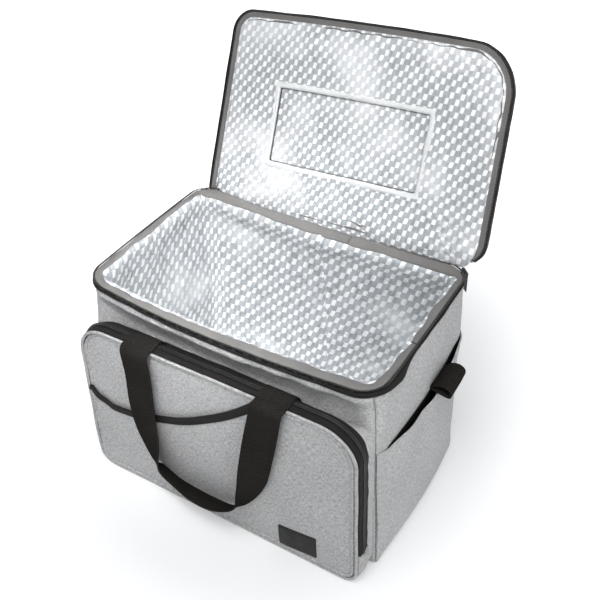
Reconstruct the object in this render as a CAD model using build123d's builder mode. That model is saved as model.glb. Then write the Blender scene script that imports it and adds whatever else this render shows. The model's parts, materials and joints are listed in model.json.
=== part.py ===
from build123d import *
from math import cos, radians, sin
import os

os.makedirs("parts", exist_ok=True)

# Soft insulated cooler bag, drawn with its lid thrown back.  Millimetres, +Z up, X across the
# front, Y towards the hinge.  The origin is the middle of the base of the main box.

# ---- Main box ----
body_width = 400
body_depth = 246
body_height = 292            # floor to the top of the rim
corner_radius = 30
fabric = 1.5                 # outer polyester with its backing
foam = 8                     # insulating sheet in the walls and floor
foil = 0.8                   # reflective liner
base_fabric = 2
base_board = 2.5             # stiffener under the floor foam
board_play = 0.5             # gap round the stiffener
piping_radius = 1.5
piping_end_gap = 4           # piping stops this far from the base and from the zip

# ---- Zip round the rim ----
zip_tape = 1.2               # thickness of the woven tape
zip_tape_height = 7
zip_coil = 2.6               # side of the square that a row of teeth fills
closing_gap = 0.3            # each row of teeth stays this far off the hinge level
rim_binding_width = 15
rim_binding_height = 2
rim_binding_play = 0.2       # between the binding and the row of teeth

# ---- Lid ----
lid_open_angle = 115         # from closed to the thrown-back rest position
lid_gap = 2                  # from the hinge line to the lid's rear edge
lid_skin = 2
lid_band_height = 2.5        # grey cloth between the zip and the top of the lid
lid_binding_width = 11
lid_binding_height = 1.6
window_width = 212
window_length = 95
window_start = 63.5          # hinge line to the near edge of the window
window_frame_width = 8
window_frame_height = 0.8

# ---- Quick-access flap over the window ----
flap_margin = 19             # flap past the window on each side
flap_front_margin = 21.5
flap_hinge_lead = 24         # flap edge to the window's near edge
flap_skin = 2
flap_gap = 1.5               # flap hinge line to the flap's edge
flap_radius = 12
strip_height = 1             # hook strip and loop strip, each
strip_width = 12
strip_inset = 3              # window edge to the strips
strip_gap = 0.3
plug_play = 4                # window edge to the flap's foam plug
plug_recess = 7              # lid's inner face to the plug's foil face
tab_width = 25
tab_length = 20
tab_height = 1.5

# ---- Front pocket ----
pocket_width = 392
pocket_height = 256
pocket_top_radius = 48
pocket_bottom_radius = 26
pocket_fabric = 1.5
gusset_depth = 12
pocket_tape_width = 9
pocket_teeth_width = 3
pocket_teeth_height = 2.2
pocket_panel = 2
pocket_piping = 3
zip_end_height = 30          # the pocket's zip stops this far above the floor
wrap_height = 12
wrap_thickness = 1.2

# ---- Slip pocket and patch on the front ----
slip_inset = 4
slip_seam = 3
slip_room = 5
slip_sheet = 1.5
slip_edge_left = 152         # height of the open edge at its left end
slip_edge_end = 80           # where the open edge meets the pocket's top, from the middle
slip_edge_route = [(-162, -12), (-128, -10), (-78, 6), (-29, 26), (33, 68)]  # from the left end's height
slip_binding_width = 12
slip_binding = 1.2
patch_width = 54
patch_height = 39
patch_thickness = 1
patch_radius = 1.5
patch_side = 112             # middle of the patch, from the middle of the pocket
patch_level = 30

# ---- Side pockets and strap loops ----
side_pocket_low = 8
side_pocket_top = 188
side_bulge_low = 6
side_bulge_top = 18
side_fabric = 1.5
side_seam = 3
loop_reach = 28
loop_width = 40
loop_middle = 30             # middle of the loop behind the middle of the bag
loop_level = 192
loop_height = 11

# ---- Handles ----
webbing_width = 40
webbing = 2.5
handle_rise = 3              # pocket's top to both handles' fold lines
handle_left = 92             # left leg of the front handle, from the middle
handle_right = 92
handle_drop = 229            # fold line to the middle of the webbing at the bottom
handle_foot_left = 90        # where the left leg would meet the bottom run
handle_foot_right = 45
handle_bend = 60
handle_clear = 1.3
back_handle_clear = 1
back_leg = 92                # each leg of the back handle, from the middle
back_foot = 68
fold_radius = 1.6
fold_clear = 0.5

# ---- Zip sliders ----
slider_length = 11
slider_width = 9
slider_height = 3.2
slider_clear = 0.4
slider_park_angle = 45       # round the back corner, from the rear face
pull_width = 7
pull_length = 27
pull_thickness = 1.2
pull_barrel = 1
pull_clear = 0.4
pocket_slider_level = 52


def save(piece, label):
    """Name a finished piece and write its STEP file."""
    piece.part.label = label
    export_step(piece.part, f"parts/{label}.step")


def hoop(plane, width, depth, radius, wall, height):
    """A rounded rectangular hoop whose wall is measured inwards."""
    with BuildPart() as piece:
        with BuildSketch(plane):
            RectangleRounded(width, depth, radius)
            RectangleRounded(width - 2 * wall, depth - 2 * wall, radius - wall, mode=Mode.SUBTRACT)
        extrude(amount=height)
    return piece


def slab(plane, width, depth, radius, height):
    """A rounded rectangular sheet."""
    with BuildPart() as piece:
        with BuildSketch(plane):
            RectangleRounded(width, depth, radius)
        extrude(amount=height)
    return piece


def block(plane, across, along, height):
    """A rectangular sheet between two across values and two along values in a plane."""
    with BuildPart() as piece:
        with BuildSketch(plane):
            with Locations(((across[0] + across[1]) / 2, (along[0] + along[1]) / 2)):
                Rectangle(across[1] - across[0], along[1] - along[0])
        extrude(amount=height)
    return piece


# ---- Outer fabric ----
half_width = body_width / 2
half_depth = body_depth / 2
flat_x = half_width - corner_radius
flat_y = half_depth - corner_radius
tape_low = body_height - closing_gap - zip_coil - zip_tape_height

# Each wall ends at the middle of its two rounded corners, where the seams are.
wall_wedges = {
    "outer_front": [(-half_width, -half_depth), (half_width, -half_depth), (flat_x, -flat_y), (-flat_x, -flat_y)],
    "outer_right": [(half_width, -half_depth), (half_width, half_depth), (flat_x, flat_y), (flat_x, -flat_y)],
    "outer_back": [(half_width, half_depth), (-half_width, half_depth), (-flat_x, flat_y), (flat_x, flat_y)],
    "outer_left": [(-half_width, half_depth), (-half_width, -half_depth), (-flat_x, -flat_y), (-flat_x, flat_y)],
}
for wall_name, wedge in wall_wedges.items():
    with BuildPart() as wall:
        with BuildSketch(Plane.XY.offset(base_fabric)):
            RectangleRounded(body_width, body_depth, corner_radius)
            RectangleRounded(
                body_width - 2 * fabric, body_depth - 2 * fabric, corner_radius - fabric, mode=Mode.SUBTRACT
            )
            Polygon(*wedge, align=None, mode=Mode.INTERSECT)
        extrude(amount=tape_low - base_fabric)
    save(wall, wall_name)

save(slab(Plane.XY, body_width, body_depth, corner_radius, base_fabric), "outer_base")

# Piping stands on the four corner seams, tangent to the fabric.
piping_reach = (corner_radius + piping_radius) * cos(radians(45))
with BuildPart() as corner_piping:
    with BuildSketch(Plane.XY.offset(piping_end_gap)):
        with GridLocations(2 * (flat_x + piping_reach), 2 * (flat_y + piping_reach), 2, 2):
            Circle(piping_radius)
    extrude(amount=tape_low - 2 * piping_end_gap)
save(corner_piping, "corner_piping")

# ---- Insulation and liner ----
board_top = base_fabric + base_board
floor_top = board_top + foam
wall_top = body_height - closing_gap - zip_coil - rim_binding_height
foam_height = wall_top - floor_top
foam_plane = Plane.XY.offset(floor_top)
board_inset = fabric + board_play
shell_inset = fabric + foam

save(
    slab(
        Plane.XY.offset(base_fabric), body_width - 2 * board_inset, body_depth - 2 * board_inset,
        corner_radius - board_inset, base_board,
    ),
    "base_board",
)
save(
    slab(
        Plane.XY.offset(board_top), body_width - 2 * fabric, body_depth - 2 * fabric,
        corner_radius - fabric, foam,
    ),
    "foam_base",
)
front_span = (-half_depth + fabric, -half_depth + shell_inset)
side_span = (half_width - shell_inset, half_width - fabric)
back_span = (-front_span[1], -front_span[0])
left_span = (-side_span[1], -side_span[0])
save(block(foam_plane, (-flat_x, flat_x), front_span, foam_height), "foam_front")
save(block(foam_plane, (-flat_x, flat_x), back_span, foam_height), "foam_back")
save(block(foam_plane, side_span, (-flat_y, flat_y), foam_height), "foam_right")
save(block(foam_plane, left_span, (-flat_y, flat_y), foam_height), "foam_left")

with BuildPart() as foam_corners:
    with BuildSketch(foam_plane):
        RectangleRounded(body_width - 2 * fabric, body_depth - 2 * fabric, corner_radius - fabric)
        RectangleRounded(
            body_width - 2 * shell_inset, body_depth - 2 * shell_inset, corner_radius - shell_inset,
            mode=Mode.SUBTRACT,
        )
        Rectangle(2 * flat_x, body_depth, mode=Mode.SUBTRACT)
        Rectangle(body_width, 2 * flat_y, mode=Mode.SUBTRACT)
    extrude(amount=foam_height)
save(foam_corners, "foam_corners")

liner_inset = shell_inset + foil
with BuildPart() as foil_liner:
    with BuildSketch(foam_plane):
        RectangleRounded(body_width - 2 * shell_inset, body_depth - 2 * shell_inset, corner_radius - shell_inset)
    extrude(amount=foam_height)
    with BuildSketch(foam_plane.offset(foil)):
        RectangleRounded(body_width - 2 * liner_inset, body_depth - 2 * liner_inset, corner_radius - liner_inset)
    extrude(amount=foam_height, mode=Mode.SUBTRACT)
save(foil_liner, "foil_liner")

# ---- Rim ----
binding_inset = zip_coil + rim_binding_play
save(
    hoop(
        Plane.XY.offset(wall_top), body_width - 2 * binding_inset, body_depth - 2 * binding_inset,
        corner_radius - binding_inset, rim_binding_width, rim_binding_height,
    ),
    "rim_binding",
)


def rim_hoop(low, wall, height):
    """A hoop round the rim that leaves out the straight run of the hinge."""
    with BuildPart() as piece:
        with BuildSketch(Plane.XY.offset(low)):
            RectangleRounded(body_width, body_depth, corner_radius)
            RectangleRounded(body_width - 2 * wall, body_depth - 2 * wall, corner_radius - wall, mode=Mode.SUBTRACT)
            with Locations((0, half_depth)):
                Rectangle(2 * flat_x, 2 * zip_coil, mode=Mode.SUBTRACT)
        extrude(amount=height)
    return piece


save(rim_hoop(tape_low, zip_tape, zip_tape_height), "body_zip_tape")
save(rim_hoop(tape_low + zip_tape_height, zip_coil, zip_coil), "body_zip_teeth")
save(
    block(Plane.XY.offset(tape_low), (-flat_x, flat_x), (half_depth - fabric, half_depth), zip_tape_height),
    "hinge_strip",
)

with BuildPart() as hinge_piping:
    with BuildSketch(Plane.YZ.offset(-flat_x)):
        with Locations((half_depth, body_height)):
            Circle(piping_radius)
    extrude(amount=2 * flat_x)
save(hinge_piping, "hinge_piping")

# ---- Lid ----
# In the lid's planes the first value runs across and the second from the hinge line to the front
# edge.  Levels are negative: they run from the inner face at zero to the outer skin.
lid_inward = Vector(0, -sin(radians(lid_open_angle)), -cos(radians(lid_open_angle)))
hinge_plane = Plane(origin=(0, half_depth, body_height), x_dir=(1, 0, 0), z_dir=lid_inward)
lid_length = body_depth - lid_gap
lid_origin = hinge_plane.from_local_coords(Vector(0, lid_gap + lid_length / 2, 0))
lid_plane = Plane(origin=lid_origin, x_dir=(1, 0, 0), z_dir=lid_inward)
lid_teeth_level = -closing_gap - zip_coil
lid_tape_level = lid_teeth_level - zip_tape_height
lid_band_level = lid_tape_level - lid_band_height
lid_top_level = lid_band_level - lid_skin
lid_binding_level = -closing_gap - lid_binding_height
window_middle = window_start + window_length / 2 - lid_gap - lid_length / 2
window_near = window_middle - window_length / 2
window_far = window_middle + window_length / 2


def lid_hoop(low, wall, height):
    """A hoop round the edge of the lid."""
    return hoop(lid_plane.offset(low), body_width, lid_length, corner_radius, wall, height)


def lid_sheet(low, height, inset):
    """A sheet filling the lid inside an inset, with the window cut out of it."""
    with BuildPart() as piece:
        with BuildSketch(lid_plane.offset(low)):
            RectangleRounded(body_width - 2 * inset, lid_length - 2 * inset, corner_radius - inset)
            with Locations((0, window_middle)):
                Rectangle(window_width, window_length, mode=Mode.SUBTRACT)
        extrude(amount=height)
    return piece


save(lid_sheet(lid_top_level, lid_skin, 0), "lid_outer")
save(lid_hoop(lid_band_level, fabric, lid_band_height), "lid_band")
save(lid_hoop(lid_tape_level, zip_tape, zip_tape_height), "lid_zip_tape")
save(lid_hoop(lid_teeth_level, zip_coil, zip_coil), "lid_zip_teeth")
save(
    hoop(
        lid_plane.offset(lid_binding_level), body_width - 2 * binding_inset, lid_length - 2 * binding_inset,
        corner_radius - binding_inset, lid_binding_width, lid_binding_height,
    ),
    "lid_binding",
)
liner_level = lid_binding_level
lid_liner_inset = binding_inset + lid_binding_width
save(lid_sheet(lid_band_level, liner_level - lid_band_level, binding_inset), "lid_foam")
save(lid_sheet(liner_level, foil, lid_liner_inset), "lid_liner")

with BuildPart() as window_frame:
    with BuildSketch(lid_plane.offset(liner_level + foil)):
        with Locations((0, window_middle)):
            Rectangle(window_width + 2 * window_frame_width, window_length + 2 * window_frame_width)
            Rectangle(window_width, window_length, mode=Mode.SUBTRACT)
    extrude(amount=window_frame_height)
save(window_frame, "window_frame")

# ---- Quick-access flap ----
# Loop strips lie on the lid on three sides of the window, with hook strips on the flap above them.


def grip_strips(low):
    """Three strips, beside and in front of the window, in one piece."""
    inner_width = window_width + 2 * strip_inset
    inner_length = window_length + strip_inset
    near_edge = (Align.CENTER, Align.MIN)
    with BuildPart() as piece:
        with BuildSketch(lid_plane.offset(low)):
            with Locations((0, window_near)):
                Rectangle(inner_width + 2 * strip_width, inner_length + strip_width, align=near_edge)
                Rectangle(inner_width, inner_length, align=near_edge, mode=Mode.SUBTRACT)
        extrude(amount=strip_height)
    return piece


flap_near = window_near - flap_hinge_lead
flap_far = window_far + flap_front_margin
flap_width = window_width + 2 * flap_margin
hook_level = lid_top_level - 2 * strip_height - strip_gap
flap_level = hook_level - flap_skin
plug_level = -plug_recess - foil

save(grip_strips(lid_top_level - strip_height), "loop_strips")
save(grip_strips(hook_level), "hook_strips")

with BuildPart() as flap_outer:
    with BuildSketch(lid_plane.offset(flap_level)):
        with Locations((0, (flap_near + flap_far) / 2)):
            RectangleRounded(flap_width, flap_far - flap_near, flap_radius)
    extrude(amount=flap_skin)
save(flap_outer, "flap_outer")

plug_across = (plug_play - window_width / 2, window_width / 2 - plug_play)
plug_along = (window_near + plug_play, window_far - plug_play)
tab_across = (-tab_width / 2, tab_width / 2)
tab_along = (flap_far, flap_far + tab_length)
save(block(lid_plane.offset(hook_level), plug_across, plug_along, plug_level - hook_level), "flap_foam")
save(block(lid_plane.offset(plug_level), plug_across, plug_along, foil), "flap_liner")
save(block(lid_plane.offset(flap_level), tab_across, tab_along, tab_height), "flap_tab")

# The flap turns about the row of piping behind its rear edge.
flap_hinge_along = flap_near - flap_gap - fold_radius
flap_hinge_level = lid_top_level - fold_radius
flap_piping_length = flap_width - 2 * flap_radius
flap_hinge_point = lid_plane.from_local_coords(
    Vector(-flap_piping_length / 2, flap_hinge_along, flap_hinge_level)
)
with BuildPart() as flap_piping:
    with BuildSketch(Plane(origin=flap_hinge_point, z_dir=(1, 0, 0))):
        Circle(fold_radius)
    extrude(amount=flap_piping_length)
save(flap_piping, "flap_piping")

# ---- Front pocket ----
# In these planes the second value is the height, and levels run forwards from the box.
front_plane = Plane.XZ.offset(half_depth)
zip_depth = 2 * pocket_tape_width + pocket_teeth_width
teeth_level = gusset_depth + pocket_tape_width
front_tape_level = teeth_level + pocket_teeth_width
panel_level = gusset_depth + zip_depth
face_level = panel_level + pocket_panel


def pocket_shape(inset):
    """The pocket's outline seen from the front, drawn in by an inset."""
    with BuildSketch() as shape:
        with Locations((0, inset)):
            Rectangle(
                pocket_width - 2 * inset, pocket_height - 2 * inset, align=(Align.CENTER, Align.MIN)
            )
        fillet(shape.vertices().group_by(Axis.Y)[-1], pocket_top_radius - inset)
        fillet(shape.vertices().group_by(Axis.Y)[0], pocket_bottom_radius - inset)
    return shape.sketch


def pocket_wall(level, depth, wall, low, high):
    """A hoop of the pocket's wall between two heights."""
    outer_shape = pocket_shape(0)
    inner_shape = pocket_shape(wall)
    with BuildPart() as piece:
        with BuildSketch(front_plane.offset(level)):
            add(outer_shape)
            add(inner_shape, mode=Mode.SUBTRACT)
            with Locations((0, low)):
                Rectangle(pocket_width, high - low, align=(Align.CENTER, Align.MIN), mode=Mode.INTERSECT)
        extrude(amount=depth)
    return piece


save(pocket_wall(0, gusset_depth, pocket_fabric, 0, pocket_height), "pocket_gusset")
save(pocket_wall(gusset_depth, zip_depth, pocket_fabric, 0, zip_end_height), "pocket_floor")
for tape_name, level in (("pocket_tape_rear", gusset_depth), ("pocket_tape_front", front_tape_level)):
    save(pocket_wall(level, pocket_tape_width, zip_tape, zip_end_height, pocket_height), tape_name)
save(
    pocket_wall(teeth_level, pocket_teeth_width, pocket_teeth_height, zip_end_height, pocket_height),
    "pocket_teeth",
)
save(pocket_wall(panel_level, pocket_piping, pocket_piping, 0, pocket_height), "pocket_piping")

panel_shape = pocket_shape(pocket_piping)
with BuildPart() as pocket_front:
    with BuildSketch(front_plane.offset(panel_level)):
        add(panel_shape)
    extrude(amount=pocket_panel)
save(pocket_front, "pocket_front")

# Cloth wraps close both ends of the pocket's zip.
with BuildPart() as zip_wraps:
    with BuildSketch(Plane.XY.offset(zip_end_height)):
        with Locations((0, -half_depth - gusset_depth - zip_depth / 2)):
            with GridLocations(pocket_width + wrap_thickness, 1, 2, 1):
                Rectangle(wrap_thickness, zip_depth)
    extrude(amount=wrap_height)
save(zip_wraps, "zip_wraps")

# ---- Slip pocket on the front ----


def under_edge(drop):
    """The area under the slip pocket's curved open edge, lowered by a drop."""
    half_pocket = pocket_width / 2
    left_level = slip_edge_left - drop
    middle = [(side, left_level + rise) for side, rise in slip_edge_route]
    edge = [(-half_pocket, left_level), *middle, (slip_edge_end, pocket_height - drop)]
    with BuildSketch() as shape:
        with BuildLine():
            Spline(*edge)
            Polyline(edge[-1], (half_pocket, pocket_height - drop), (half_pocket, 0), (-half_pocket, 0), edge[0])
        make_face()
    return shape.sketch


slip_outline = pocket_shape(slip_inset)
slip_hollow = pocket_shape(slip_inset + slip_seam)
slip_area = under_edge(0)
slip_depth = slip_room + slip_sheet
slip_face = face_level + slip_depth
with BuildPart() as slip_pocket:
    with BuildSketch(front_plane.offset(face_level)):
        add(slip_outline)
        add(slip_area, mode=Mode.INTERSECT)
    extrude(amount=slip_depth)
    with BuildSketch(front_plane.offset(face_level)):
        add(slip_hollow)
    extrude(amount=slip_room, mode=Mode.SUBTRACT)
save(slip_pocket, "slip_pocket")

slip_lower_area = under_edge(slip_binding_width)
with BuildPart() as slip_edge:
    with BuildSketch(front_plane.offset(slip_face)):
        add(slip_outline)
        add(slip_area, mode=Mode.INTERSECT)
        add(slip_lower_area, mode=Mode.SUBTRACT)
        with Locations((slip_edge_end, 0)):
            Rectangle(pocket_width, pocket_height, align=(Align.MIN, Align.MIN), mode=Mode.SUBTRACT)
    extrude(amount=slip_binding)
save(slip_edge, "slip_edge")

with BuildPart() as patch:
    with BuildSketch(front_plane.offset(slip_face)):
        with Locations((patch_side, patch_level)):
            RectangleRounded(patch_width, patch_height, patch_radius)
    extrude(amount=patch_thickness)
save(patch, "patch")

# ---- Side pockets and strap loops ----
side_slope = (side_bulge_top - side_bulge_low) / (side_pocket_top - side_pocket_low)


def side_scoop(turn, low, seam, thickness):
    """A scoop on a side wall whose bulge grows evenly from its low end to the mouth."""
    half_chord = flat_y - seam
    chord = turn * half_width
    with BuildPart() as scoop:
        for level in (low, side_pocket_top):
            bulge = side_bulge_low + side_slope * (level - side_pocket_low) - thickness
            with BuildSketch(Plane.XY.offset(level)):
                with BuildLine():
                    ThreePointArc((chord, -half_chord), (chord + turn * bulge, 0), (chord, half_chord))
                    Line((chord, half_chord), (chord, -half_chord))
                make_face()
        loft(ruled=True)
    return scoop.part


for side_name, turn in (("left", -1), ("right", 1)):
    outside = side_scoop(turn, side_pocket_low, 0, 0)
    inside = side_scoop(turn, side_pocket_low + side_fabric, side_seam, side_fabric)
    with BuildPart() as side_pocket:
        add(outside)
        add(inside, mode=Mode.SUBTRACT)
    save(side_pocket, f"side_pocket_{side_name}")

    with BuildPart() as side_loop:
        with BuildSketch(Plane.XZ.offset(-loop_middle - loop_width / 2)):
            with Locations((turn * (half_width + loop_reach / 2), loop_level + loop_height / 2)):
                Rectangle(loop_reach, loop_height)
                Rectangle(loop_reach - 2 * webbing, loop_height - 2 * webbing, mode=Mode.SUBTRACT)
        extrude(amount=loop_width)
    save(side_loop, f"side_loop_{side_name}")

# ---- Handles ----
handle_level = pocket_height + handle_rise


def handle(start, legs, feet):
    """A hanging webbing loop, flat in its plane, with a rolled fold at the top of each leg."""
    low = handle_level - handle_drop
    with BuildPart() as piece:
        with BuildSketch(Plane.XZ.offset(start)):
            with BuildLine():
                FilletPolyline(
                    (legs[0], handle_level), (feet[0], low), (feet[1], low), (legs[1], handle_level),
                    radius=handle_bend,
                )
                offset(amount=webbing_width / 2, side=Side.BOTH)
            make_face()
            with Locations((0, handle_level)):
                Rectangle(body_width, webbing_width, align=(Align.CENTER, Align.MIN), mode=Mode.SUBTRACT)
        extrude(amount=webbing)
        for leg in legs:
            with BuildSketch(Plane.YZ.offset(leg - webbing_width / 2)):
                with Locations((-start - webbing / 2, handle_level)):
                    Circle(fold_radius)
            extrude(amount=webbing_width)
    return piece


front_handle_level = slip_face + slip_binding + handle_clear
front_legs = (-handle_left, handle_right)
save(
    handle(half_depth + front_handle_level, front_legs, (-handle_foot_left, handle_foot_right)),
    "front_handle",
)
save(
    handle(-half_depth - back_handle_clear - webbing, (-back_leg, back_leg), (-back_foot, back_foot)),
    "back_handle",
)

# Each root strap runs from a fold at the box, over the pocket's zip, to the loop's own fold.
root_start = fold_radius + fold_clear
root_end = front_handle_level + webbing / 2 - fold_radius - fold_clear
with BuildPart() as handle_roots:
    for leg in front_legs:
        with BuildSketch(Plane.XY.offset(handle_level - webbing / 2)):
            with Locations((leg, -half_depth - (root_start + root_end) / 2)):
                Rectangle(webbing_width, root_end - root_start)
        extrude(amount=webbing)
        with BuildSketch(Plane.YZ.offset(leg - webbing_width / 2)):
            with Locations((-half_depth - root_start, handle_level)):
                Circle(fold_radius)
        extrude(amount=webbing_width)
save(handle_roots, "handle_roots")

# ---- Zip sliders ----
slider_top = body_height - 2 * closing_gap
pull_reach = slider_clear + slider_height + pull_clear + pull_barrel


def pull_tab(pivot, outward):
    """A tab that hangs from a small barrel and lies square to its outward direction."""
    along = Vector(0, 0, 1).cross(outward)
    with BuildPart() as piece:
        with BuildSketch(Plane(origin=pivot, x_dir=outward, z_dir=(0, 0, -1))):
            Rectangle(pull_thickness, pull_width)
        extrude(amount=pull_length)
        with BuildSketch(Plane(origin=pivot - along * (pull_width / 2), x_dir=outward, z_dir=along)):
            Circle(pull_barrel)
        extrude(amount=pull_width)
    return piece


for side_name, turn in (("left", -1), ("right", 1)):
    outward = Vector(turn * sin(radians(slider_park_angle)), cos(radians(slider_park_angle)), 0)
    corner = Vector(turn * flat_x, flat_y, slider_top - slider_width)
    with BuildPart() as rim_slider:
        with BuildSketch(Plane(origin=corner, x_dir=outward, z_dir=(0, 0, 1))):
            with Locations((corner_radius + slider_clear + slider_height / 2, 0)):
                Rectangle(slider_height, slider_length)
        extrude(amount=slider_width)
    save(rim_slider, f"rim_slider_{side_name}")
    rim_pivot = corner + outward * (corner_radius + pull_reach) + Vector(0, 0, slider_width / 2)
    save(pull_tab(rim_pivot, outward), f"rim_pull_{side_name}")

pocket_slider_centre = Vector(
    -pocket_width / 2, -half_depth - teeth_level - pocket_teeth_width / 2, pocket_slider_level
)
pocket_outward = Vector(-1, 0, 0)
with BuildPart() as pocket_slider:
    with BuildSketch(Plane(origin=pocket_slider_centre, x_dir=pocket_outward, z_dir=(0, 0, 1))):
        with Locations((slider_clear + slider_height / 2, 0)):
            Rectangle(slider_height, slider_width)
    extrude(amount=slider_length / 2, both=True)
save(pocket_slider, "pocket_slider")
save(pull_tab(pocket_slider_centre + pocket_outward * pull_reach, pocket_outward), "pocket_pull")
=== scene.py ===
# %% [markdown]
# # An insulated cooler bag
# The construction comes from a CAD frame that is already at its real size: walls of foam between
# cloth and foil, a lid on a cloth hinge, zips, pockets and webbing. This lesson adds what the eye
# sees. Each piece is a surface worked out with numpy, as whole arrays, and then handed to Blender.
# %% Load the frame
import json
from math import cos, pi, radians, sin

import bmesh
import bpy
import numpy as np
from mathutils import Matrix, Vector

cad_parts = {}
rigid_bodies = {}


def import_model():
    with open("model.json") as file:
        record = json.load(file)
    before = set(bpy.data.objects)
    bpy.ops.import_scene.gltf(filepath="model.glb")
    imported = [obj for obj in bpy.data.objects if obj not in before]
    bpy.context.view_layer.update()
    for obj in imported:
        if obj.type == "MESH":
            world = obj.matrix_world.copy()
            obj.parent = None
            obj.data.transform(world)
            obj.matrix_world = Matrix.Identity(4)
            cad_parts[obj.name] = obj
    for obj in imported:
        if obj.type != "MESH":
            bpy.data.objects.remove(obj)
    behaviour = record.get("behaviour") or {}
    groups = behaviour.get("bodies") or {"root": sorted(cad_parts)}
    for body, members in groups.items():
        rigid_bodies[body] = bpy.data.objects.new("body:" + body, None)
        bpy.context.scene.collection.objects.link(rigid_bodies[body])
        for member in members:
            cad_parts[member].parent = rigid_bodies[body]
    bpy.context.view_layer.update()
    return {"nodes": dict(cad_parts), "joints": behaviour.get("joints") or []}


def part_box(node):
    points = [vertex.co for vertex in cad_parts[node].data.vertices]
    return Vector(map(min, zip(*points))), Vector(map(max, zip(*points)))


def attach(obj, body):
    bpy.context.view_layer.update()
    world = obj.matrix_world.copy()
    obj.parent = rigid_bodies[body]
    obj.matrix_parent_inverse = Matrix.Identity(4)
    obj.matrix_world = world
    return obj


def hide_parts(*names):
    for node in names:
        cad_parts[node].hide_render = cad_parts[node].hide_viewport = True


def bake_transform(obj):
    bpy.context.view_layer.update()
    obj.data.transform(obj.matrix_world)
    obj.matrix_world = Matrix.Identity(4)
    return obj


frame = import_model()
mm = 0.001

# %% [markdown]
# ## The studio
# The bag stands on a white sweep under one large soft lamp above the camera, a weaker one from the
# right, and a small one over the open mouth that lights its inside. The floor is white to the camera
# and to reflections, by its Light Path node, so the lamps can stay at a plain level and the grey
# cloth keeps its own grey.
# %% Camera
eye = Vector((0.4795, -0.6887, 0.9339))
turn, tilt, roll = radians(-33.07), radians(39.18), radians(-2.67)
view_direction = Vector((sin(turn) * cos(tilt), cos(turn) * cos(tilt), -sin(tilt)))
level_right = Vector((cos(turn), -sin(turn), 0))
level_up = level_right.cross(view_direction)
camera_right = cos(roll) * level_right + sin(roll) * level_up
camera_up = cos(roll) * level_up - sin(roll) * level_right
lens = bpy.data.cameras.new("camera")
lens.sensor_width = 36
lens.lens = 52.63
camera = bpy.data.objects.new("camera", lens)
columns = (camera_right, camera_up, -view_direction, eye)
camera.matrix_world = Matrix([[column[row] for column in columns] for row in range(3)] + [[0, 0, 0, 1]])
bpy.context.scene.collection.objects.link(camera)
bpy.context.scene.camera = camera
bpy.context.scene.view_settings.view_transform = "Standard"
print("camera:", round(lens.lens, 1), "mm lens,", round(eye.length, 2), "m from the bag's foot")


# %% Lamps
def area_lamp(name, where, aim, size, power, spread=180):
    """One square soft lamp, turned to face the aim point, its light kept within an angle."""
    lamp = bpy.data.lights.new(name, "AREA")
    lamp.size = size
    lamp.energy = power
    lamp.spread = radians(spread)
    made = bpy.data.objects.new(name, lamp)
    made.location = where
    made.rotation_euler = (Vector(aim) - Vector(where)).to_track_quat("-Z", "Y").to_euler()
    bpy.context.scene.collection.objects.link(made)


area_lamp("key_lamp", (0.25, -0.95, 1.95), (0, 0, 0.2), 1.2, 19)
area_lamp("inner_lamp", (0.25, -0.45, 1.2), (-0.13, 0.08, 0.08), 0.3, 0.52, spread=20)
area_lamp("side_lamp", (1.9, -0.5, 1.0), (0, 0, 0.2), 1.4, 13)


# %% World and floor
def add_node(tree, kind, inputs, output=0, **settings):
    """One shader node of this kind, and its output. inputs maps a socket's name or number to a
    number, a colour or another node's socket."""
    made = tree.nodes.new("ShaderNode" + kind)
    for key, value in settings.items():
        setattr(made, key, value)
    for key, value in inputs.items():
        if isinstance(value, bpy.types.NodeSocket):
            tree.links.new(value, made.inputs[key])
        else:
            made.inputs[key].default_value = value
    return made.outputs[output] if made.outputs else made


def white_where_seen(tree, shaded, white, output):
    """The shaded surface, but plain white for rays that see it straight, in a mirror or through glass."""
    ray = tree.nodes.new("ShaderNodeLightPath").outputs
    either = add_node(tree, "Math", {0: ray["Is Glossy Ray"], 1: ray["Is Transmission Ray"]},
                      operation="MAXIMUM")
    seen = add_node(tree, "Math", {0: ray["Is Camera Ray"], 1: either}, operation="MAXIMUM")
    add_node(tree, output, {0: add_node(tree, "MixShader", {0: seen, 1: shaded, 2: white})})


world = bpy.data.worlds.new("studio")
bpy.context.scene.world = world
world.use_nodes = True
sky = world.node_tree
sky.nodes.clear()
white_where_seen(sky, add_node(sky, "Background", {"Color": (0.93, 0.96, 1, 1), "Strength": 0.5}),
                 add_node(sky, "Background", {"Color": (1, 1, 1, 1)}), "OutputWorld")

floor_reach = 6.0
floor_mesh = bpy.data.meshes.new("floor")
square = ((-1, -1), (1, -1), (1, 1), (-1, 1))
floor_mesh.from_pydata([(x * floor_reach, y * floor_reach, 0) for x, y in square], [], [(0, 1, 2, 3)])
floor = bpy.data.objects.new("floor", floor_mesh)
floor.location.z = -0.4 * mm
bpy.context.scene.collection.objects.link(floor)
floor_white = bpy.data.materials.new("floor_white")
floor_white.use_nodes = True
ground = floor_white.node_tree
ground.nodes.clear()
paper = add_node(ground, "BsdfDiffuse", {"Color": (0.9, 0.9, 0.9, 1)})
# Painted light: to the camera the floor also glows, weakly within 0.25 m of the bag so that the bag's shade
# still shows there, and fully from 0.75 m out.
from_bag = add_node(ground, "VectorMath", {0: add_node(ground, "TexCoord", {}, output="Object")},
                    output="Value", operation="LENGTH")
strength = add_node(ground, "MapRange", {"Value": from_bag, "From Min": 0.25, "From Max": 0.75,
                                         "To Min": 0.12, "To Max": 0.9})
glow = add_node(ground, "Emission", {"Strength": strength})
white_where_seen(ground, paper, add_node(ground, "AddShader", {0: paper, 1: glow}), "OutputMaterial")
floor_mesh.materials.append(floor_white)
print("studio: three lamps, a white world and a floor", 2 * floor_reach, "m across")

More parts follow.
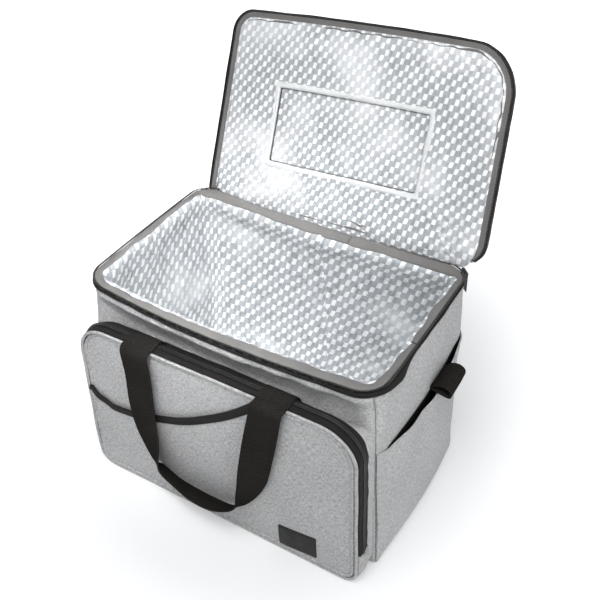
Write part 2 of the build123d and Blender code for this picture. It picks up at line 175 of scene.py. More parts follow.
# %% [markdown]
# ## Tools: from arrays to meshes
# Sewn things are long bands and bowed sheets. Modelling each by hand would make it hard to keep
# their seams together, so every shape here is a function of two parameters. A grid of points
# becomes a mesh of quads, with a UV map in metres, so that a weave has the same scale everywhere.
# %% Small helpers
def unit(vectors):
    """Each vector divided by its own length."""
    return vectors / np.maximum(np.linalg.norm(vectors, axis=-1, keepdims=True), 1e-12)


def ease(t):
    """0 before 0, 1 after 1, and 3t^2 - 2t^3 in between."""
    t = np.clip(t, 0, 1)
    return t * t * (3 - 2 * t)


def lengths(p, wrap=False):
    """Distance run along a line of points, starting from 0; one longer where the line closes."""
    line = np.concatenate([p, p[:1]]) if wrap else p
    return np.concatenate([[0], np.cumsum(np.linalg.norm(np.diff(line, axis=0), axis=-1))])


def heading(line, closed=False):
    """Unit direction of a line at each of its points."""
    return unit(np.roll(line, -1, 0) - np.roll(line, 1, 0) if closed else np.gradient(line, axis=0))


def smooth(knots, steps):
    """The Catmull-Rom curve through (n, k) knots, or through each row of (m, n, k) knots."""
    knots = np.asarray(knots, float)
    first, last, spans = knots[..., :1, :], knots[..., -1:, :], knots.shape[-2] - 1
    padded = np.concatenate([2 * first - knots[..., 1:2, :], knots, 2 * last - knots[..., -2:-1, :]], -2)
    t = (np.arange(steps) / steps)[:, None]
    a, b, c, d = (padded[..., k:k + spans, None, :] for k in range(4))
    curve = 0.5 * (2 * b + (c - a) * t + (2 * a - 5 * b + 4 * c - d) * t ** 2
                   + (3 * b - a - 3 * c + d) * t ** 3)
    return np.concatenate([curve.reshape(knots.shape[:-2] + (-1, knots.shape[-1])), last], -2)


def ripple(a, b, size, seed):
    """Soft random folds between -1 and 1: a sum of sine waves of about the given size in metres,
    each with its own direction and phase from a seeded draw."""
    draw = np.random.default_rng(seed)
    waves = 7
    total = 0 * a
    for _ in range(waves):
        angle, phase = draw.uniform(0, 2 * pi), draw.uniform(0, 2 * pi)
        number = 2 * pi / (size * draw.uniform(0.7, 1.5))
        total = total + np.sin(number * (a * cos(angle) + b * sin(angle)) + phase)
    return total / np.sqrt(waves / 2) / 1.6


# %% Meshes from grids of points
def mesh_from(name, points, faces, corner_uv):
    """A mesh from (n, 3) points and a list of (m, k) face arrays, with one UV pair for each face corner."""
    mesh = bpy.data.meshes.new(name)
    loops = np.concatenate([block.ravel() for block in faces])
    sizes = np.concatenate([np.full(len(block), block.shape[1]) for block in faces])
    mesh.vertices.add(len(points))
    mesh.vertices.foreach_set("co", np.asarray(points, np.float32).ravel())
    mesh.loops.add(len(loops))
    mesh.loops.foreach_set("vertex_index", loops.astype(np.int32))
    mesh.polygons.add(len(sizes))
    mesh.polygons.foreach_set("loop_start", np.concatenate([[0], np.cumsum(sizes)[:-1]]).astype(np.int32))
    mesh.polygons.foreach_set("loop_total", sizes.astype(np.int32))
    mesh.polygons.foreach_set("use_smooth", np.full(len(sizes), True))
    layer = mesh.uv_layers.new(name="cloth")
    layer.data.foreach_set("uv", np.asarray(corner_uv, np.float32).ravel())
    mesh.update(calc_edges=True)
    made = bpy.data.objects.new(name, mesh)
    bpy.context.scene.collection.objects.link(made)
    return made


def volume(points, faces):
    """Signed volume of a closed mesh: the sum over its triangles of a . (b x c) / 6."""
    total = 0.0
    for block in faces:
        for k in range(1, block.shape[1] - 1):
            a, b, c = points[block[:, 0]], points[block[:, k]], points[block[:, k + 1]]
            total += float(np.einsum("ij,ij->i", a, np.cross(b, c)).sum()) / 6
    return total


def quad_corners(ni, nj, wrap_i=False, wrap_j=False):
    """Quads of a grid of ni by nj points: their four corners as index pairs, and as (n, 4) numbers."""
    i, j = np.meshgrid(np.arange(ni - (not wrap_i)), np.arange(nj - (not wrap_j)), indexing="ij")
    corners = [(i, j), (i + 1, j), (i + 1, j + 1), (i, j + 1)]
    return corners, np.stack([(a % ni) * nj + b % nj for a, b in corners], -1).reshape(-1, 4)


def end_caps(ni, nj):
    """One face over the first ring of nj points, and one over the last."""
    ring = np.arange(nj)[None, :]
    return [ring[:, ::-1], ring + (ni - 1) * nj]


def tube_faces(points, ni, nj):
    """Faces of a tube of ni rings of nj points each, capped at both ends and facing outwards."""
    faces = [quad_corners(ni, nj, wrap_j=True)[1]] + end_caps(ni, nj)
    return faces if volume(points, faces) > 0 else [block[:, ::-1] for block in faces]


def grid(name, p, wrap_i=False, wrap_j=False, u=None, v=None, caps=False, flip=False):
    """Quads between the points p[i, j], closed on themselves where wrap says so. u and v are lengths
    in metres along i and j for the UV map, one longer than p where that way wraps. caps closes the
    two ends of a tube, and a closed shape is turned so that its faces point outwards."""
    ni, nj = p.shape[:2]
    corners, quads = quad_corners(ni, nj, wrap_i, wrap_j)
    u = np.arange(ni + 1) * mm if u is None else u
    v = np.arange(nj + 1) * mm if v is None else v
    u, v = (np.concatenate([f, f[:1]]) if f.ndim == 2 and wrap_i and len(f) == ni else f for f in (u, v))
    uu = np.broadcast_to(u[:, None] if u.ndim == 1 else u, (len(u), len(v) if v.ndim == 1 else v.shape[1]))
    vv = np.broadcast_to(v[None, :] if v.ndim == 1 else v, uu.shape)
    uv = np.stack([np.stack([uu[a, b], vv[a, b]], -1) for a, b in corners], 2).reshape(-1, 2)
    points, faces, uvs = p.reshape(-1, 3), [quads], [uv]
    if caps:
        faces += end_caps(ni, nj)
        uvs += [np.stack([np.zeros(nj), vv[0, :nj]], -1)] * 2
    closed = (wrap_i or caps) and wrap_j
    if flip or (closed and volume(points, faces) < 0):
        faces = [block[:, ::-1] for block in faces]
        uvs = [pairs.reshape(len(block), -1, 2)[:, ::-1].reshape(-1, 2) for pairs, block in zip(uvs, faces)]
    return mesh_from(name, points, faces, np.concatenate(uvs))


# %% Bands, rods and rows of stitches
def pill(width, height, rounding=None, steps=4):
    """Closed outline of a flat strip, width by height, with its corners rounded by quarter circles."""
    r = min(width, height) / 2 if rounding is None else rounding
    quarter = np.linspace(0, pi / 2, steps)
    arcs = []
    for k, (sx, sy) in enumerate(((1, 1), (-1, 1), (-1, -1), (1, -1))):
        angle = quarter + k * pi / 2
        arcs.append(np.stack([sx * (width / 2 - r) + r * np.cos(angle),
                              sy * (height / 2 - r) + r * np.sin(angle)], -1))
    return np.concatenate(arcs)


def band(name, centre, side, up, profile, closed=False):
    """A closed profile carried along a path: each point is centre + a * side + b * up, for the
    profile's own pair (a, b). u runs along the path and v round the profile."""
    profile = np.broadcast_to(profile, (len(centre),) + profile.shape[-2:])
    p = centre[:, None] + profile[..., :1] * side[:, None] + profile[..., 1:] * up[:, None]
    return grid(name, p, wrap_i=closed, wrap_j=True, u=lengths(centre, wrap=closed),
                v=lengths(profile[0], wrap=True), caps=not closed)


def ribbon_section(thick, bow_top, bow_under, taper=1.0):
    """Section of a crowned ribbon, from -1 to 1 across: its top bows up by bow_top in the middle and
    its under side by bow_under, and taper narrows the under side."""
    across = np.linspace(-1, 1, 9)
    crown = 1 - across ** 2
    return np.concatenate([np.stack([across, bow_top * crown + thick / 2], -1),
                           np.stack([across[::-1] * taper, bow_under * crown - thick / 2], -1)])


def copies(name, shape, faces, centre, x, y, z):
    """One small shape set down many times: point (a, b, c) goes to centre + a x + b y + c z."""
    p = (centre[:, None] + shape[None, :, :1] * x[:, None] + shape[None, :, 1:2] * y[:, None]
         + shape[None, :, 2:] * z[:, None])
    step = (np.arange(len(centre)) * len(shape))[:, None, None]
    blocks = [(block[None] + step).reshape(-1, block.shape[1]) for block in faces]
    return mesh_from(name, p.reshape(-1, 3), blocks, np.zeros((sum(block.size for block in blocks), 2)))


def capsule(length, width, height):
    """A short rounded rod along x, as points and faces: four rings of six points, the end ones small."""
    angle = np.arange(6) * pi / 3
    rings, taper = np.array([(0.0, 0.35), (0.22, 1), (0.78, 1), (1.0, 0.35)]).T[..., None]
    shape = np.stack([(rings - 0.5) * length + 0 * angle, taper * np.cos(angle) * width / 2,
                      taper * np.sin(angle) * height / 2], -1).reshape(-1, 3)
    return shape, tube_faces(shape, 4, 6)


def along_path(path, spacing, *fields, closed=False):
    """Evenly spaced places along a line of points, with its unit direction and any other fields there."""
    run = lengths(path, wrap=closed)
    number = max(2, int(run[-1] / spacing))
    where = (np.arange(number) + 0.5) * run[-1] / number
    values = []
    for field in (path,) + fields:
        line = np.concatenate([field, field[:1]]) if closed else field
        values.append(np.stack([np.interp(where, run, line[:, k]) for k in range(3)], -1))
    return [values[0], heading(values[0], closed)] + [unit(value) for value in values[1:]]


def stitches(name, path, up, spacing=3.0 * mm, length=2.0 * mm, thick=0.55 * mm, closed=False):
    """A row of thread stitches lying on a path: short rods, end to end with small gaps."""
    centre, ahead, above = along_path(path, spacing, up, closed=closed)
    side = unit(np.cross(above, ahead))
    return copies(name, *capsule(length, thick, thick), centre, ahead, side, unit(np.cross(ahead, side)))


# %% Thickness, welding and dressing
def wall(piece, thickness, offset=-1.0):
    """Give a sheet its thickness with a Solidify modifier; offset -1 keeps the modelled face outside."""
    solid = piece.modifiers.new("thickness", "SOLIDIFY")
    solid.thickness = thickness
    solid.offset = offset


def merge(piece, distance=1e-6):
    """Weld doubled points, as at the pole of a plate, drop empty faces, and turn all faces outwards."""
    shape = bmesh.new()
    shape.from_mesh(piece.data)
    bmesh.ops.remove_doubles(shape, verts=shape.verts, dist=distance)
    bmesh.ops.dissolve_degenerate(shape, edges=shape.edges, dist=distance)
    bmesh.ops.recalc_face_normals(shape, faces=shape.faces)
    shape.to_mesh(piece.data)
    shape.free()


def dress(piece, material, slot, *nodes):
    """Give a piece its finish and hide the CAD nodes that the piece stands for. slot, the finish's name, is
    not used.
    """
    piece.data.materials.append(material)
    if nodes:
        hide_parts(*nodes)
    return piece


def place(piece, body, material, slot, *nodes):
    """Dress a piece and let it ride on its body."""
    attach(piece, body)
    return dress(piece, material, slot, *nodes)


def first_only(number, node):
    """Where several pieces stand for one CAD node, only the first of them names it."""
    return [node] if number == 0 else []

# %% [markdown]
# ## Finishes
# Every finish is built from nodes that read the piece's own UV map, in metres, so that a thread is
# a thread's width on each piece. A small recipe class keeps the node calls short. A value that is
# the same all over goes straight onto the shader's socket.
# %% A recipe for a finish
class Recipe:
    """Builds one material: node() adds a node, and feed() links one to a socket of the surface."""

    def __init__(self, name, roughness, specular=0.5, metallic=0.0, sheen=0.0):
        self.material = bpy.data.materials.new(name)
        self.material.use_nodes = True
        self.tree = self.material.node_tree
        self.surface = self.tree.nodes["Principled BSDF"].inputs
        for socket, value in (("Roughness", roughness), ("Specular IOR Level", specular),
                              ("Metallic", metallic), ("Sheen Weight", sheen)):
            self.surface[socket].default_value = value
        self.place = self.tree.nodes.new("ShaderNodeUVMap").outputs["UV"]

    def node(self, kind, inputs, output=0, **settings):
        return add_node(self.tree, kind, inputs, output, **settings)

    def feed(self, socket, value):
        self.tree.links.new(value, self.surface[socket])

    def math(self, operation, a, b=0.0, c=0.0):
        return self.node("Math", {0: a, 1: b, 2: c}, operation=operation)

    def times(self, a, b):
        return self.math("MULTIPLY", a, b)

    def less(self, a, b):
        return self.math("SUBTRACT", a, b)

    def over(self, a, b):
        return self.math("DIVIDE", a, b)

    def size(self, a):
        return self.math("ABSOLUTE", a)

    def noise(self, scale, detail=2.0, stretch=None, roughness=0.5):
        """Soft noise between 0 and 1; stretch is its number of waves to the metre along and across."""
        place = self.place
        if stretch:
            place = self.node("Mapping", {"Vector": place, "Scale": stretch + (1.0,)})
        return self.node("TexNoise", {"Vector": place, "Scale": scale, "Detail": detail,
                                      "Roughness": roughness})

    def axes(self):
        """The UV place as two numbers, in metres."""
        split = self.tree.nodes.new("ShaderNodeSeparateXYZ")
        self.tree.links.new(self.place, split.inputs[0])
        return split.outputs[0], split.outputs[1]

    def between(self, value, low, high, out_low=0.0, out_high=1.0):
        """value taken from low..high to out_low..out_high with soft ends."""
        return self.node("MapRange", {"Value": value, "From Min": low, "From Max": high,
                                      "To Min": out_low, "To Max": out_high}, interpolation_type="SMOOTHSTEP")

    def mix(self, factor, a, b):
        """Colour a where the factor is 0 and colour b where it is 1."""
        return self.node("Mix", {0: factor, 6: a, 7: b}, output=2, data_type="RGBA")

    def dimmed(self, shade, factor):
        return self.node("VectorMath", {0: shade, 3: factor}, operation="SCALE")

    def bump(self, *layers):
        """Bumps from (height, strength, distance in metres) layers, each laid on the one before."""
        below = {}
        for height, strength, distance in layers:
            below = {"Normal": self.node("Bump", {"Height": height, "Strength": strength,
                                                  "Distance": distance, **below})}
        self.feed("Normal", below["Normal"])
        return self.material


def grey(level, warm=0.0):
    """A linear grey, made a little redder and less blue by warm."""
    return (level * (1 + warm), level, level * (1 - warm), 1)


# %% [markdown]
# The outer cloth is a heather polyester: light and dark grey yarns, uneven in thickness, in a plain
# weave. Long thin noise along each direction of the cloth gives the slubs, and a fine sine in each
# direction gives the over and under of the threads.
# %% Heather cloth
def heather(name, light, dark, thread=0.55 * mm):
    """Plain-woven heather: warp and weft noises, each some eleven times longer than it is wide, and a
    finer mottle. The weave's height is the sine across the warp times the sine across the weft."""
    cloth = Recipe(name, roughness=0.9, specular=0.12, sheen=0.08)
    cloth.surface["Sheen Roughness"].default_value = 0.5
    u, v = cloth.axes()
    warp = cloth.noise(1.0, 3, (1900, 170), 0.65)
    weft = cloth.noise(1.0, 3, (150, 1700), 0.65)
    mottle = cloth.times(cloth.noise(330), 0.16)
    tone = cloth.math("MULTIPLY_ADD", cloth.math("ADD", warp, weft), 0.42, mottle)
    cloud = cloth.between(cloth.noise(14), 0.3, 0.7, 0.955, 1.03)
    shade = cloth.mix(cloth.between(tone, 0.40, 0.60), grey(dark, 0.004), grey(light, 0.004))
    cloth.feed("Base Color", cloth.dimmed(shade, cloud))
    waves = [cloth.math("SINE", cloth.times(axis, pi / thread)) for axis in (u, v)]
    return cloth.bump((cloth.times(*waves), 0.35, 0.12 * mm), (tone, 0.3, 0.35 * mm),
                      (cloth.noise(55), 0.25, 0.8 * mm))


grey_cloth = heather("grey_cloth", 0.58, 0.25)
seam_cloth = heather("seam_cloth", 0.54, 0.26, thread=0.45 * mm)


# %% Ribbed tapes: grey binding, black zip tape and black webbing
def ribbed(name, light, dark, rib, depth, warm=0.0, roughness=0.8, herring=0.0, specular=0.1):
    """A narrow woven tape: ribs across its length, one every rib metres. Where herring is set, the
    ribs run on a slant that turns back every herring metres across the tape."""
    tape = Recipe(name, roughness=roughness, specular=specular)
    u, v = tape.axes()
    along = tape.over(u, rib)
    if herring:
        along = tape.math("ADD", along, tape.over(tape.math("PINGPONG", v, herring), rib * 1.4))
    ribs = tape.size(tape.math("SINE", tape.times(along, pi)))
    tone = tape.math("MULTIPLY_ADD", ribs, 0.55, tape.times(tape.noise(1.0, 2, (900, 300)), 0.45))
    wear = tape.between(tape.noise(25, 3), 0.3, 0.7, 0.92, 1.06)
    shade = tape.mix(tape.between(tone, 0.2, 0.8), grey(dark, warm), grey(light, warm))
    tape.feed("Base Color", tape.dimmed(shade, wear))
    return tape.bump((ribs, 0.6, depth), (tape.noise(60), 0.2, 0.8 * mm))


grey_binding = ribbed("grey_binding", 0.205, 0.135, 0.75 * mm, 0.15 * mm, warm=0.035)
black_tape = ribbed("black_tape", 0.018, 0.006, 0.7 * mm, 0.15 * mm, warm=0.05, roughness=0.7)
black_webbing = ribbed("black_webbing", 0.030, 0.003, 2.5 * mm, 0.9 * mm, warm=0.07, roughness=0.62,
                       herring=5 * mm, specular=0.0)
# Black cloth for the sheet behind the side pockets' mouths: partly a black facing, partly painted shade.
black_facing_and_shade = ribbed("black_facing_and_shade", 0.012, 0.006, 0.6 * mm, 0.1 * mm, roughness=0.9)
grip_cloth = ribbed("grip_cloth", 0.04, 0.012, 1.1 * mm, 0.6 * mm, roughness=0.95, herring=0.8 * mm)


# %% [markdown]
# The lining is aluminium film printed with rows of slanted white blocks on grey, so that it glitters
# like folded ribbon. Rows are one height apart, and each row steps sideways by about the width of a
# block and its slant, so the blocks touch corner to corner. Broad crinkles break up the shine.
# %% Printed foil
def printed_foil(name, period, row, step, white_level, greys, highlight_rise=0.0):
    """Film with slanted white blocks: in each row, a block is where the place along the row, less the row's
    step and less the slant, falls within the block's width. Between the blocks lie two close greys. Each cell
    of the pattern is painted a little lighter or darker, as a painted glint. Soft pale patches painted over
    the print are painted highlights, and highlight_rise adds more of them towards high v."""
    block = 0.36
    slant = step - block + 0.01
    foil = Recipe(name, roughness=0.3, metallic=0.06, specular=0.6)
    u, v = foil.axes()
    wobble = foil.times(foil.less(foil.noise(30), 0.5), 3.0 * mm)
    height = foil.over(foil.less(v, wobble), row)
    number, part = foil.math("FLOOR", height), foil.math("FRACT", height)
    shift = foil.math("MULTIPLY_ADD", number, step, foil.times(part, slant))
    place = foil.less(foil.over(foil.math("ADD", u, wobble), period), shift)
    across = foil.math("FRACT", place)
    end = foil.math("POWER", foil.size(foil.math("MULTIPLY_ADD", part, 2.0, -1.0)), 6.0)
    half_block = foil.less(block / 2, foil.times(end, 0.05))
    white = foil.between(foil.less(half_block, foil.size(foil.less(across, 0.5))), -0.03, 0.03)
    seam = foil.size(foil.less(foil.math("FRACT", foil.math("ADD", across, 0.5)), 0.5))
    groove = foil.between(foil.math("MAXIMUM", foil.times(end, 0.8), foil.less(1.0, foil.times(seam, 22.0))),
                          0.25, 1.0)
    cell = foil.node("CombineXYZ", {0: foil.math("FLOOR", foil.times(place, 2.0)), 1: number})
    # Painted glint: each cell of the print is made a little lighter or darker at random, as if it caught the
    # light differently.
    cell_glint = foil.node("TexWhiteNoise", {"Vector": cell}, noise_dimensions="2D")
    low, high = greys
    shade = foil.mix(groove, (low, low * 1.05, low * 1.1, 1), (high, high * 1.035, high * 1.07, 1))
    shade = foil.mix(white, shade, (white_level, white_level, white_level, 1))
    shade = foil.dimmed(shade, foil.math("MULTIPLY_ADD", cell_glint, 0.24, 0.82))
    # Painted highlight: soft pale patches that wash out the print, with more of them towards high v where
    # highlight_rise is set.
    painted_highlight = foil.between(foil.math("MULTIPLY_ADD", v, highlight_rise, foil.noise(9.0, 3)), 0.50, 0.75, 0.0, 0.65)
    pale = (white_level * 0.97, white_level * 0.98, white_level * 0.99, 1)
    foil.feed("Base Color", foil.mix(painted_highlight, shade, pale))
    foil.feed("Roughness", foil.between(foil.noise(40, 3), 0.3, 0.7, 0.2, 0.4))
    folds = foil.size(foil.less(foil.noise(45, 4, roughness=0.6), 0.5))
    return foil.bump((folds, 0.5, 3.0 * mm), (foil.noise(150, 3), 0.35, 0.8 * mm), (white, 0.15, 0.1 * mm))


# The two films differ in the size of their print. The inside's whites and greys are also painted lighter than
# the lid's: painted light for the inside of the bag, which the lamps reach less.
foil_inside = printed_foil("foil_inside", 18.4 * mm, 10.4 * mm, 0.576, 0.98, (0.44, 0.60))
foil_lid = printed_foil("foil_lid", 13.8 * mm, 6.9 * mm, 0.45, 0.95, (0.40, 0.52), highlight_rise=0.6)


# %% Plain film for the window frame, and the hard finishes
def plain_film(name):
    """Unprinted white film: glossy, with fine crinkles."""
    film = Recipe(name, roughness=0.35, specular=0.6)
    film.feed("Base Color", film.mix(film.noise(160), (0.62, 0.63, 0.63, 1), (0.88, 0.89, 0.89, 1)))
    return film.bump((film.noise(220, 3), 0.5, 0.8 * mm))


def moulded(name, low, high, roughness, metallic=0.0, grain=900, depth=0.05 * mm, specular=0.5):
    """A moulded, painted or foamed surface between two greys: a fine even grain and uneven gloss."""
    made = Recipe(name, roughness=roughness, metallic=metallic, specular=specular)
    made.feed("Base Color", made.mix(made.between(made.noise(35, 3), 0.3, 0.7), grey(low), grey(high)))
    made.feed("Roughness", made.between(made.noise(80), 0.2, 0.8, roughness - 0.06, roughness + 0.08))
    return made.bump((made.noise(grain), 0.3, depth))


frame_film = plain_film("plain_film")
coil_nylon = moulded("coil_nylon", 0.010, 0.022, 0.42, grain=1500)
slider_paint = moulded("slider_paint", 0.012, 0.03, 0.32, metallic=0.6)
patch_rubber = moulded("patch_rubber", 0.018, 0.026, 0.6, grain=1400, depth=0.08 * mm, specular=0.15)
foam_pale = moulded("foam_pale", 0.55, 0.68, 0.85, grain=500, depth=0.5 * mm)
board_black = moulded("board_black", 0.02, 0.04, 0.5, grain=300, depth=0.1 * mm)
thread_grey = moulded("thread_grey", 0.42, 0.60, 0.7, grain=2500)
# Near-black thread: painted shade, the dark of stitch holes and grooves put into the thread's colour.
painted_shade_thread = moulded("painted_shade_thread", 0.03, 0.06, 0.7, grain=2500)
thread_white = moulded("thread_white", 0.72, 0.85, 0.7, grain=2500)
print("finishes:", len(bpy.data.materials), "materials")

# %% [markdown]
# ## The body's walls
# The body is a rounded box of foam between heather cloth and foil. It could be five flat plates, but
# a real one is a tube of cloth that gives: the mouth bows, the front edge sags and the sides swell.
# So each layer is the same outline, set in by its own depth, and one function settles them all.
# %% Sizes taken from the frame
def middle_height(node):
    """Height of the middle of a CAD node."""
    low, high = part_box(node)
    return (low.z + high.z) / 2


half_x, half_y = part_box("outer_base")[1].x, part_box("outer_base")[1].y
rim_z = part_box("rim_binding")[1].z
wall_top_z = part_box("outer_front")[1].z
tape_z, coil_z = middle_height("body_zip_tape"), middle_height("body_zip_teeth")
floor_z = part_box("foil_liner")[0].z
liner_depth = half_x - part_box("foil_liner")[1].x
foam_depth = half_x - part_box("foam_right")[1].x
hinge = Vector(frame["joints"][0]["pos_m"])
print("body:", 2 * half_x, "x", 2 * half_y, "m, rim at", round(rim_z, 4))


# %% The outline, as arrays
def rounded(left, right, low, high, radii, counts):
    """Points and outward normals round a rounded rectangle, anticlockwise from the middle of its high
    side: four sides and four quarter circles. radii is (high left, low left, low right, high right),
    each a number or an array with one value per level. A point moves evenly with the radii, so that
    levels of different radius still match point for point. counts is the number of points on half the
    high side, a high corner, a side, a low corner and the low side."""
    half_high, high_arc, side, low_arc, low_side = counts
    a, b, c, d = (np.atleast_1d(r)[None, :] for r in radii)
    zero = 0 * (a + b + c + d)
    middle = (left + right) / 2

    def straight(start, end, normal, n):
        t = (np.arange(n) / n)[:, None]
        return [start[0] * (1 - t) + end[0] * t + zero, start[1] * (1 - t) + end[1] * t + zero,
                np.full((n, 1), normal[0]) + zero, np.full((n, 1), normal[1]) + zero]

    def quarter(x, y, r, first, n):
        angle = first + (np.arange(n) / n)[:, None] * pi / 2
        return [x + r * np.cos(angle), y + r * np.sin(angle), np.cos(angle) + zero, np.sin(angle) + zero]

    runs = [
        straight((middle, high), (left + a, high), (0, 1), half_high),
        quarter(left + a, high - a, a, pi / 2, high_arc),
        straight((left, high - a), (left, low + b), (-1, 0), side),
        quarter(left + b, low + b, b, pi, low_arc),
        straight((left + b, low), (right - c, low), (0, -1), low_side),
        quarter(right - c, low + c, c, 1.5 * pi, low_arc),
        straight((right, low + c), (right, high - d), (1, 0), side),
        quarter(right - d, high - d, d, 0, high_arc),
        straight((right - d, high), (middle, high), (0, 1), half_high),
    ]
    x, y, nx, ny = (np.concatenate([run[k] for run in runs]) for k in range(4))
    starts = np.cumsum([0] + [len(run[0]) for run in runs])
    return np.stack([x, y], -1), np.stack([nx, ny], -1), starts


def rounded_ring(left, right, low, high, radii, counts):
    """The same outline at one level only: (n, 2) points and normals, and the starts."""
    xy, normal, starts = rounded(left, right, low, high, radii, counts)
    return xy[:, 0], normal[:, 0], starts


def outline(front_radius, back_radius):
    """The body seen from above, from the middle of the back."""
    radii = (back_radius, front_radius, front_radius, back_radius)
    return rounded(-half_x, half_x, -half_y, half_y, radii, (34, 12, 44, 12, 70))


def corner_radii(z):
    """Corner radii at each height: the front corners are sharp low down and open out at the mouth."""
    opening = ease((z - 0.19) / 0.09)
    return (5 + 25 * opening) * mm, (26 + 4 * opening + 8 * ease((0.13 - z) / 0.12)) * mm


# %% How the soft box gives
def settle(p):
    """Where a point of the square box ends up. The mouth's two long edges bow forwards, the front one
    sags and its left end rides up, the walls swell, the front wall folds in behind the top of the
    front pocket, and the lower right wall is drawn in towards its back corner."""
    x, y, z = p[..., 0], p[..., 1], p[..., 2]
    along, deep = np.clip(x / half_x, -1, 1), np.clip(y / half_y, -1, 1)
    mid_x, mid_y = 1 - along ** 2, 1 - deep ** 2
    front = np.clip(0.5 - y / half_y / 2, 0, 1)
    back = 1 - front
    mouth, low = ease((z - 0.16) / 0.12), ease((0.17 - z) / 0.12)
    belly = np.sin(pi * np.clip(z / rim_z, 0, 1))
    bow = mouth * mid_x * (4.0 * front + 5.5 * back)
    swell_y = deep * belly * mid_x * 2.0
    on_wall = ease((0.136 + y) / 0.012) * (y < 0) * np.clip(1 - (x / half_x) ** 6, 0, 1) * front
    fold = 13.0 * ease((0.277 - z) / 0.020) * ease((z - 0.19) / 0.04) - np.exp(-((z - 0.278) / 0.009) ** 2)
    swell_x = along ** 3 * (mid_y * (belly * 2.5 + mouth * 1.5) + low * 3.5)
    low_right = np.clip(along, 0, 1) ** 3 * ease((0.22 - z) / 0.08) * ease((z + 0.012) / 0.06)
    drawn_in = 4.5 * low_right * ease(deep)
    sag = ease((z - 0.2) / 0.085) * mid_x * (8.5 * front - 1.5 * back)
    lift = 5.0 * ease((z - 0.15) / 0.13) * np.clip(-along, 0, 1) ** 2
    return p + np.stack([swell_x - drawn_in, swell_y + fold * on_wall - bow, lift - sag], -1) * mm


def wall_layer(depth, z, radii):
    """A ring of points for each level z, set in from the outline by depth (one value, or one per
    point and level)."""
    xy, normal, starts = outline(*radii)
    flat = xy - normal * np.broadcast_to(np.asarray(depth), xy.shape[:2])[..., None]
    return np.concatenate([flat, np.broadcast_to(z, xy.shape[:2])[..., None]], -1), normal, starts


# %% [markdown]
# The outer cloth is cut as four panels, joined by plain seams near the corners. Each panel turns in
# a little at its seams, which draws a fine shadow line, and a row of stitches runs down each seam.
# %% Outer cloth
levels = [[0.4, 0.9, 2.0, 3.6, 5.6], np.linspace(8, 240, 44), np.linspace(244, 284.5, 18)]
levels = np.concatenate(levels) * mm
turn_in = 5 * mm
seam_dip, seam_reach = 0.9 * mm, 2.2 * mm
measured_level = 20
under_depth = turn_in * (1 - np.sqrt(1 - np.clip(1 - levels / turn_in, 0, 1) ** 2))
skin, skin_normal, starts = wall_layer(under_depth[None, :], levels[None, :], corner_radii(levels))
n_ring = len(skin)
girth = lengths(skin[:, measured_level], wrap=True)
s_grid, z_grid = np.meshgrid(girth[:-1], levels, indexing="ij")
pucker = (ripple(s_grid, z_grid * 0.5, 34 * mm, 11) * 0.9
          + ripple(s_grid * 1.5, z_grid * 0.4, 15 * mm, 12) * 0.5)
tucked = ease((z_grid - 0.276) / 0.007)
pucker = pucker * (0.35 + 0.65 * ease((z_grid - 0.2) / 0.07)) * (1 - tucked) - 0.8 * tucked - 0.2
skin[..., :2] += skin_normal * (pucker * mm)[..., None]


def wall_panel(name, node, first, last):
    """The part of the cloth between two seams, dipped at each seam's edge. Its weave is measured out
    both ways from the panel's middle, level by level."""
    index = np.arange(first, last + 1) % n_ring
    p = skin[index].copy()
    run = lengths(p[:, measured_level])
    edge = np.minimum(run, run[-1] - run)
    p[..., :2] -= skin_normal[index] * (seam_dip * (1 - ease(edge / seam_reach)))[:, None, None]
    reach = np.cumsum(np.linalg.norm(np.diff(p, axis=0, prepend=p[:1]), axis=-1), axis=0)
    made = grid(name, settle(p), u=girth[first] + reach - reach[len(index) // 2], v=levels)
    wall(made, 1.3 * mm)
    place(made, "bag", grey_cloth, "grey_cloth", node)


seams = [(starts[k] + starts[k + 1]) // 2 for k in (1, 3, 5, 7)]
seams.append(n_ring + seams[0])
for number, side_name in enumerate(("left", "front", "right", "back")):
    wall_panel(f"{side_name}_wall_cloth", f"outer_{side_name}", seams[number], seams[number + 1])
# The front-right seam's stitches take the near-black thread, as painted shade of their holes; the other
# seams' stitches are grey.
for number, seam in enumerate(seams[1:]):
    upright = settle(skin[seam % n_ring][4:-1])
    away = unit(upright * np.array([1, 1, 0]))
    row = stitches(f"corner_stitches_{number + 1}", upright + away * 0.1 * mm, away, length=2.1 * mm)
    place(row, "bag", painted_shade_thread if number == 1 else thread_grey, "grey_cloth",
          *first_only(number, "corner_piping"))
print("outer cloth:", n_ring, "points round,", len(levels), "levels, 4 seams")


# %% The base cloth, a plate with the body's outline
def plate(x_half, y_low, y_high, low_radius, high_radius, steps=(60, 40)):
    """A flat rounded rectangle as a grid: rows run across, and each row's half width follows the
    quarter circles at the corners, one radius for the two low ones and one for the two high ones."""
    bend = 1 - np.cos(np.linspace(0, pi / 2, 9))[:-1]
    y = np.concatenate([y_low + low_radius * bend,
                        np.linspace(y_low + low_radius, y_high - high_radius, steps[1]),
                        y_high - high_radius * bend[::-1]])
    near_low = np.clip(1 - (y - y_low) / low_radius, 0, 1)
    near_high = np.clip(1 - (y_high - y) / high_radius, 0, 1)
    half = (x_half - low_radius * (1 - np.sqrt(1 - near_low ** 2))
            - high_radius * (1 - np.sqrt(1 - near_high ** 2)))
    t = np.linspace(0, 1, steps[0] + 1)
    t = (t + (1 - np.cos(pi * t)) / 2) / 2
    x = half[None, :] * (2 * t[:, None] - 1)
    return x, np.broadcast_to(y[None, :], x.shape)


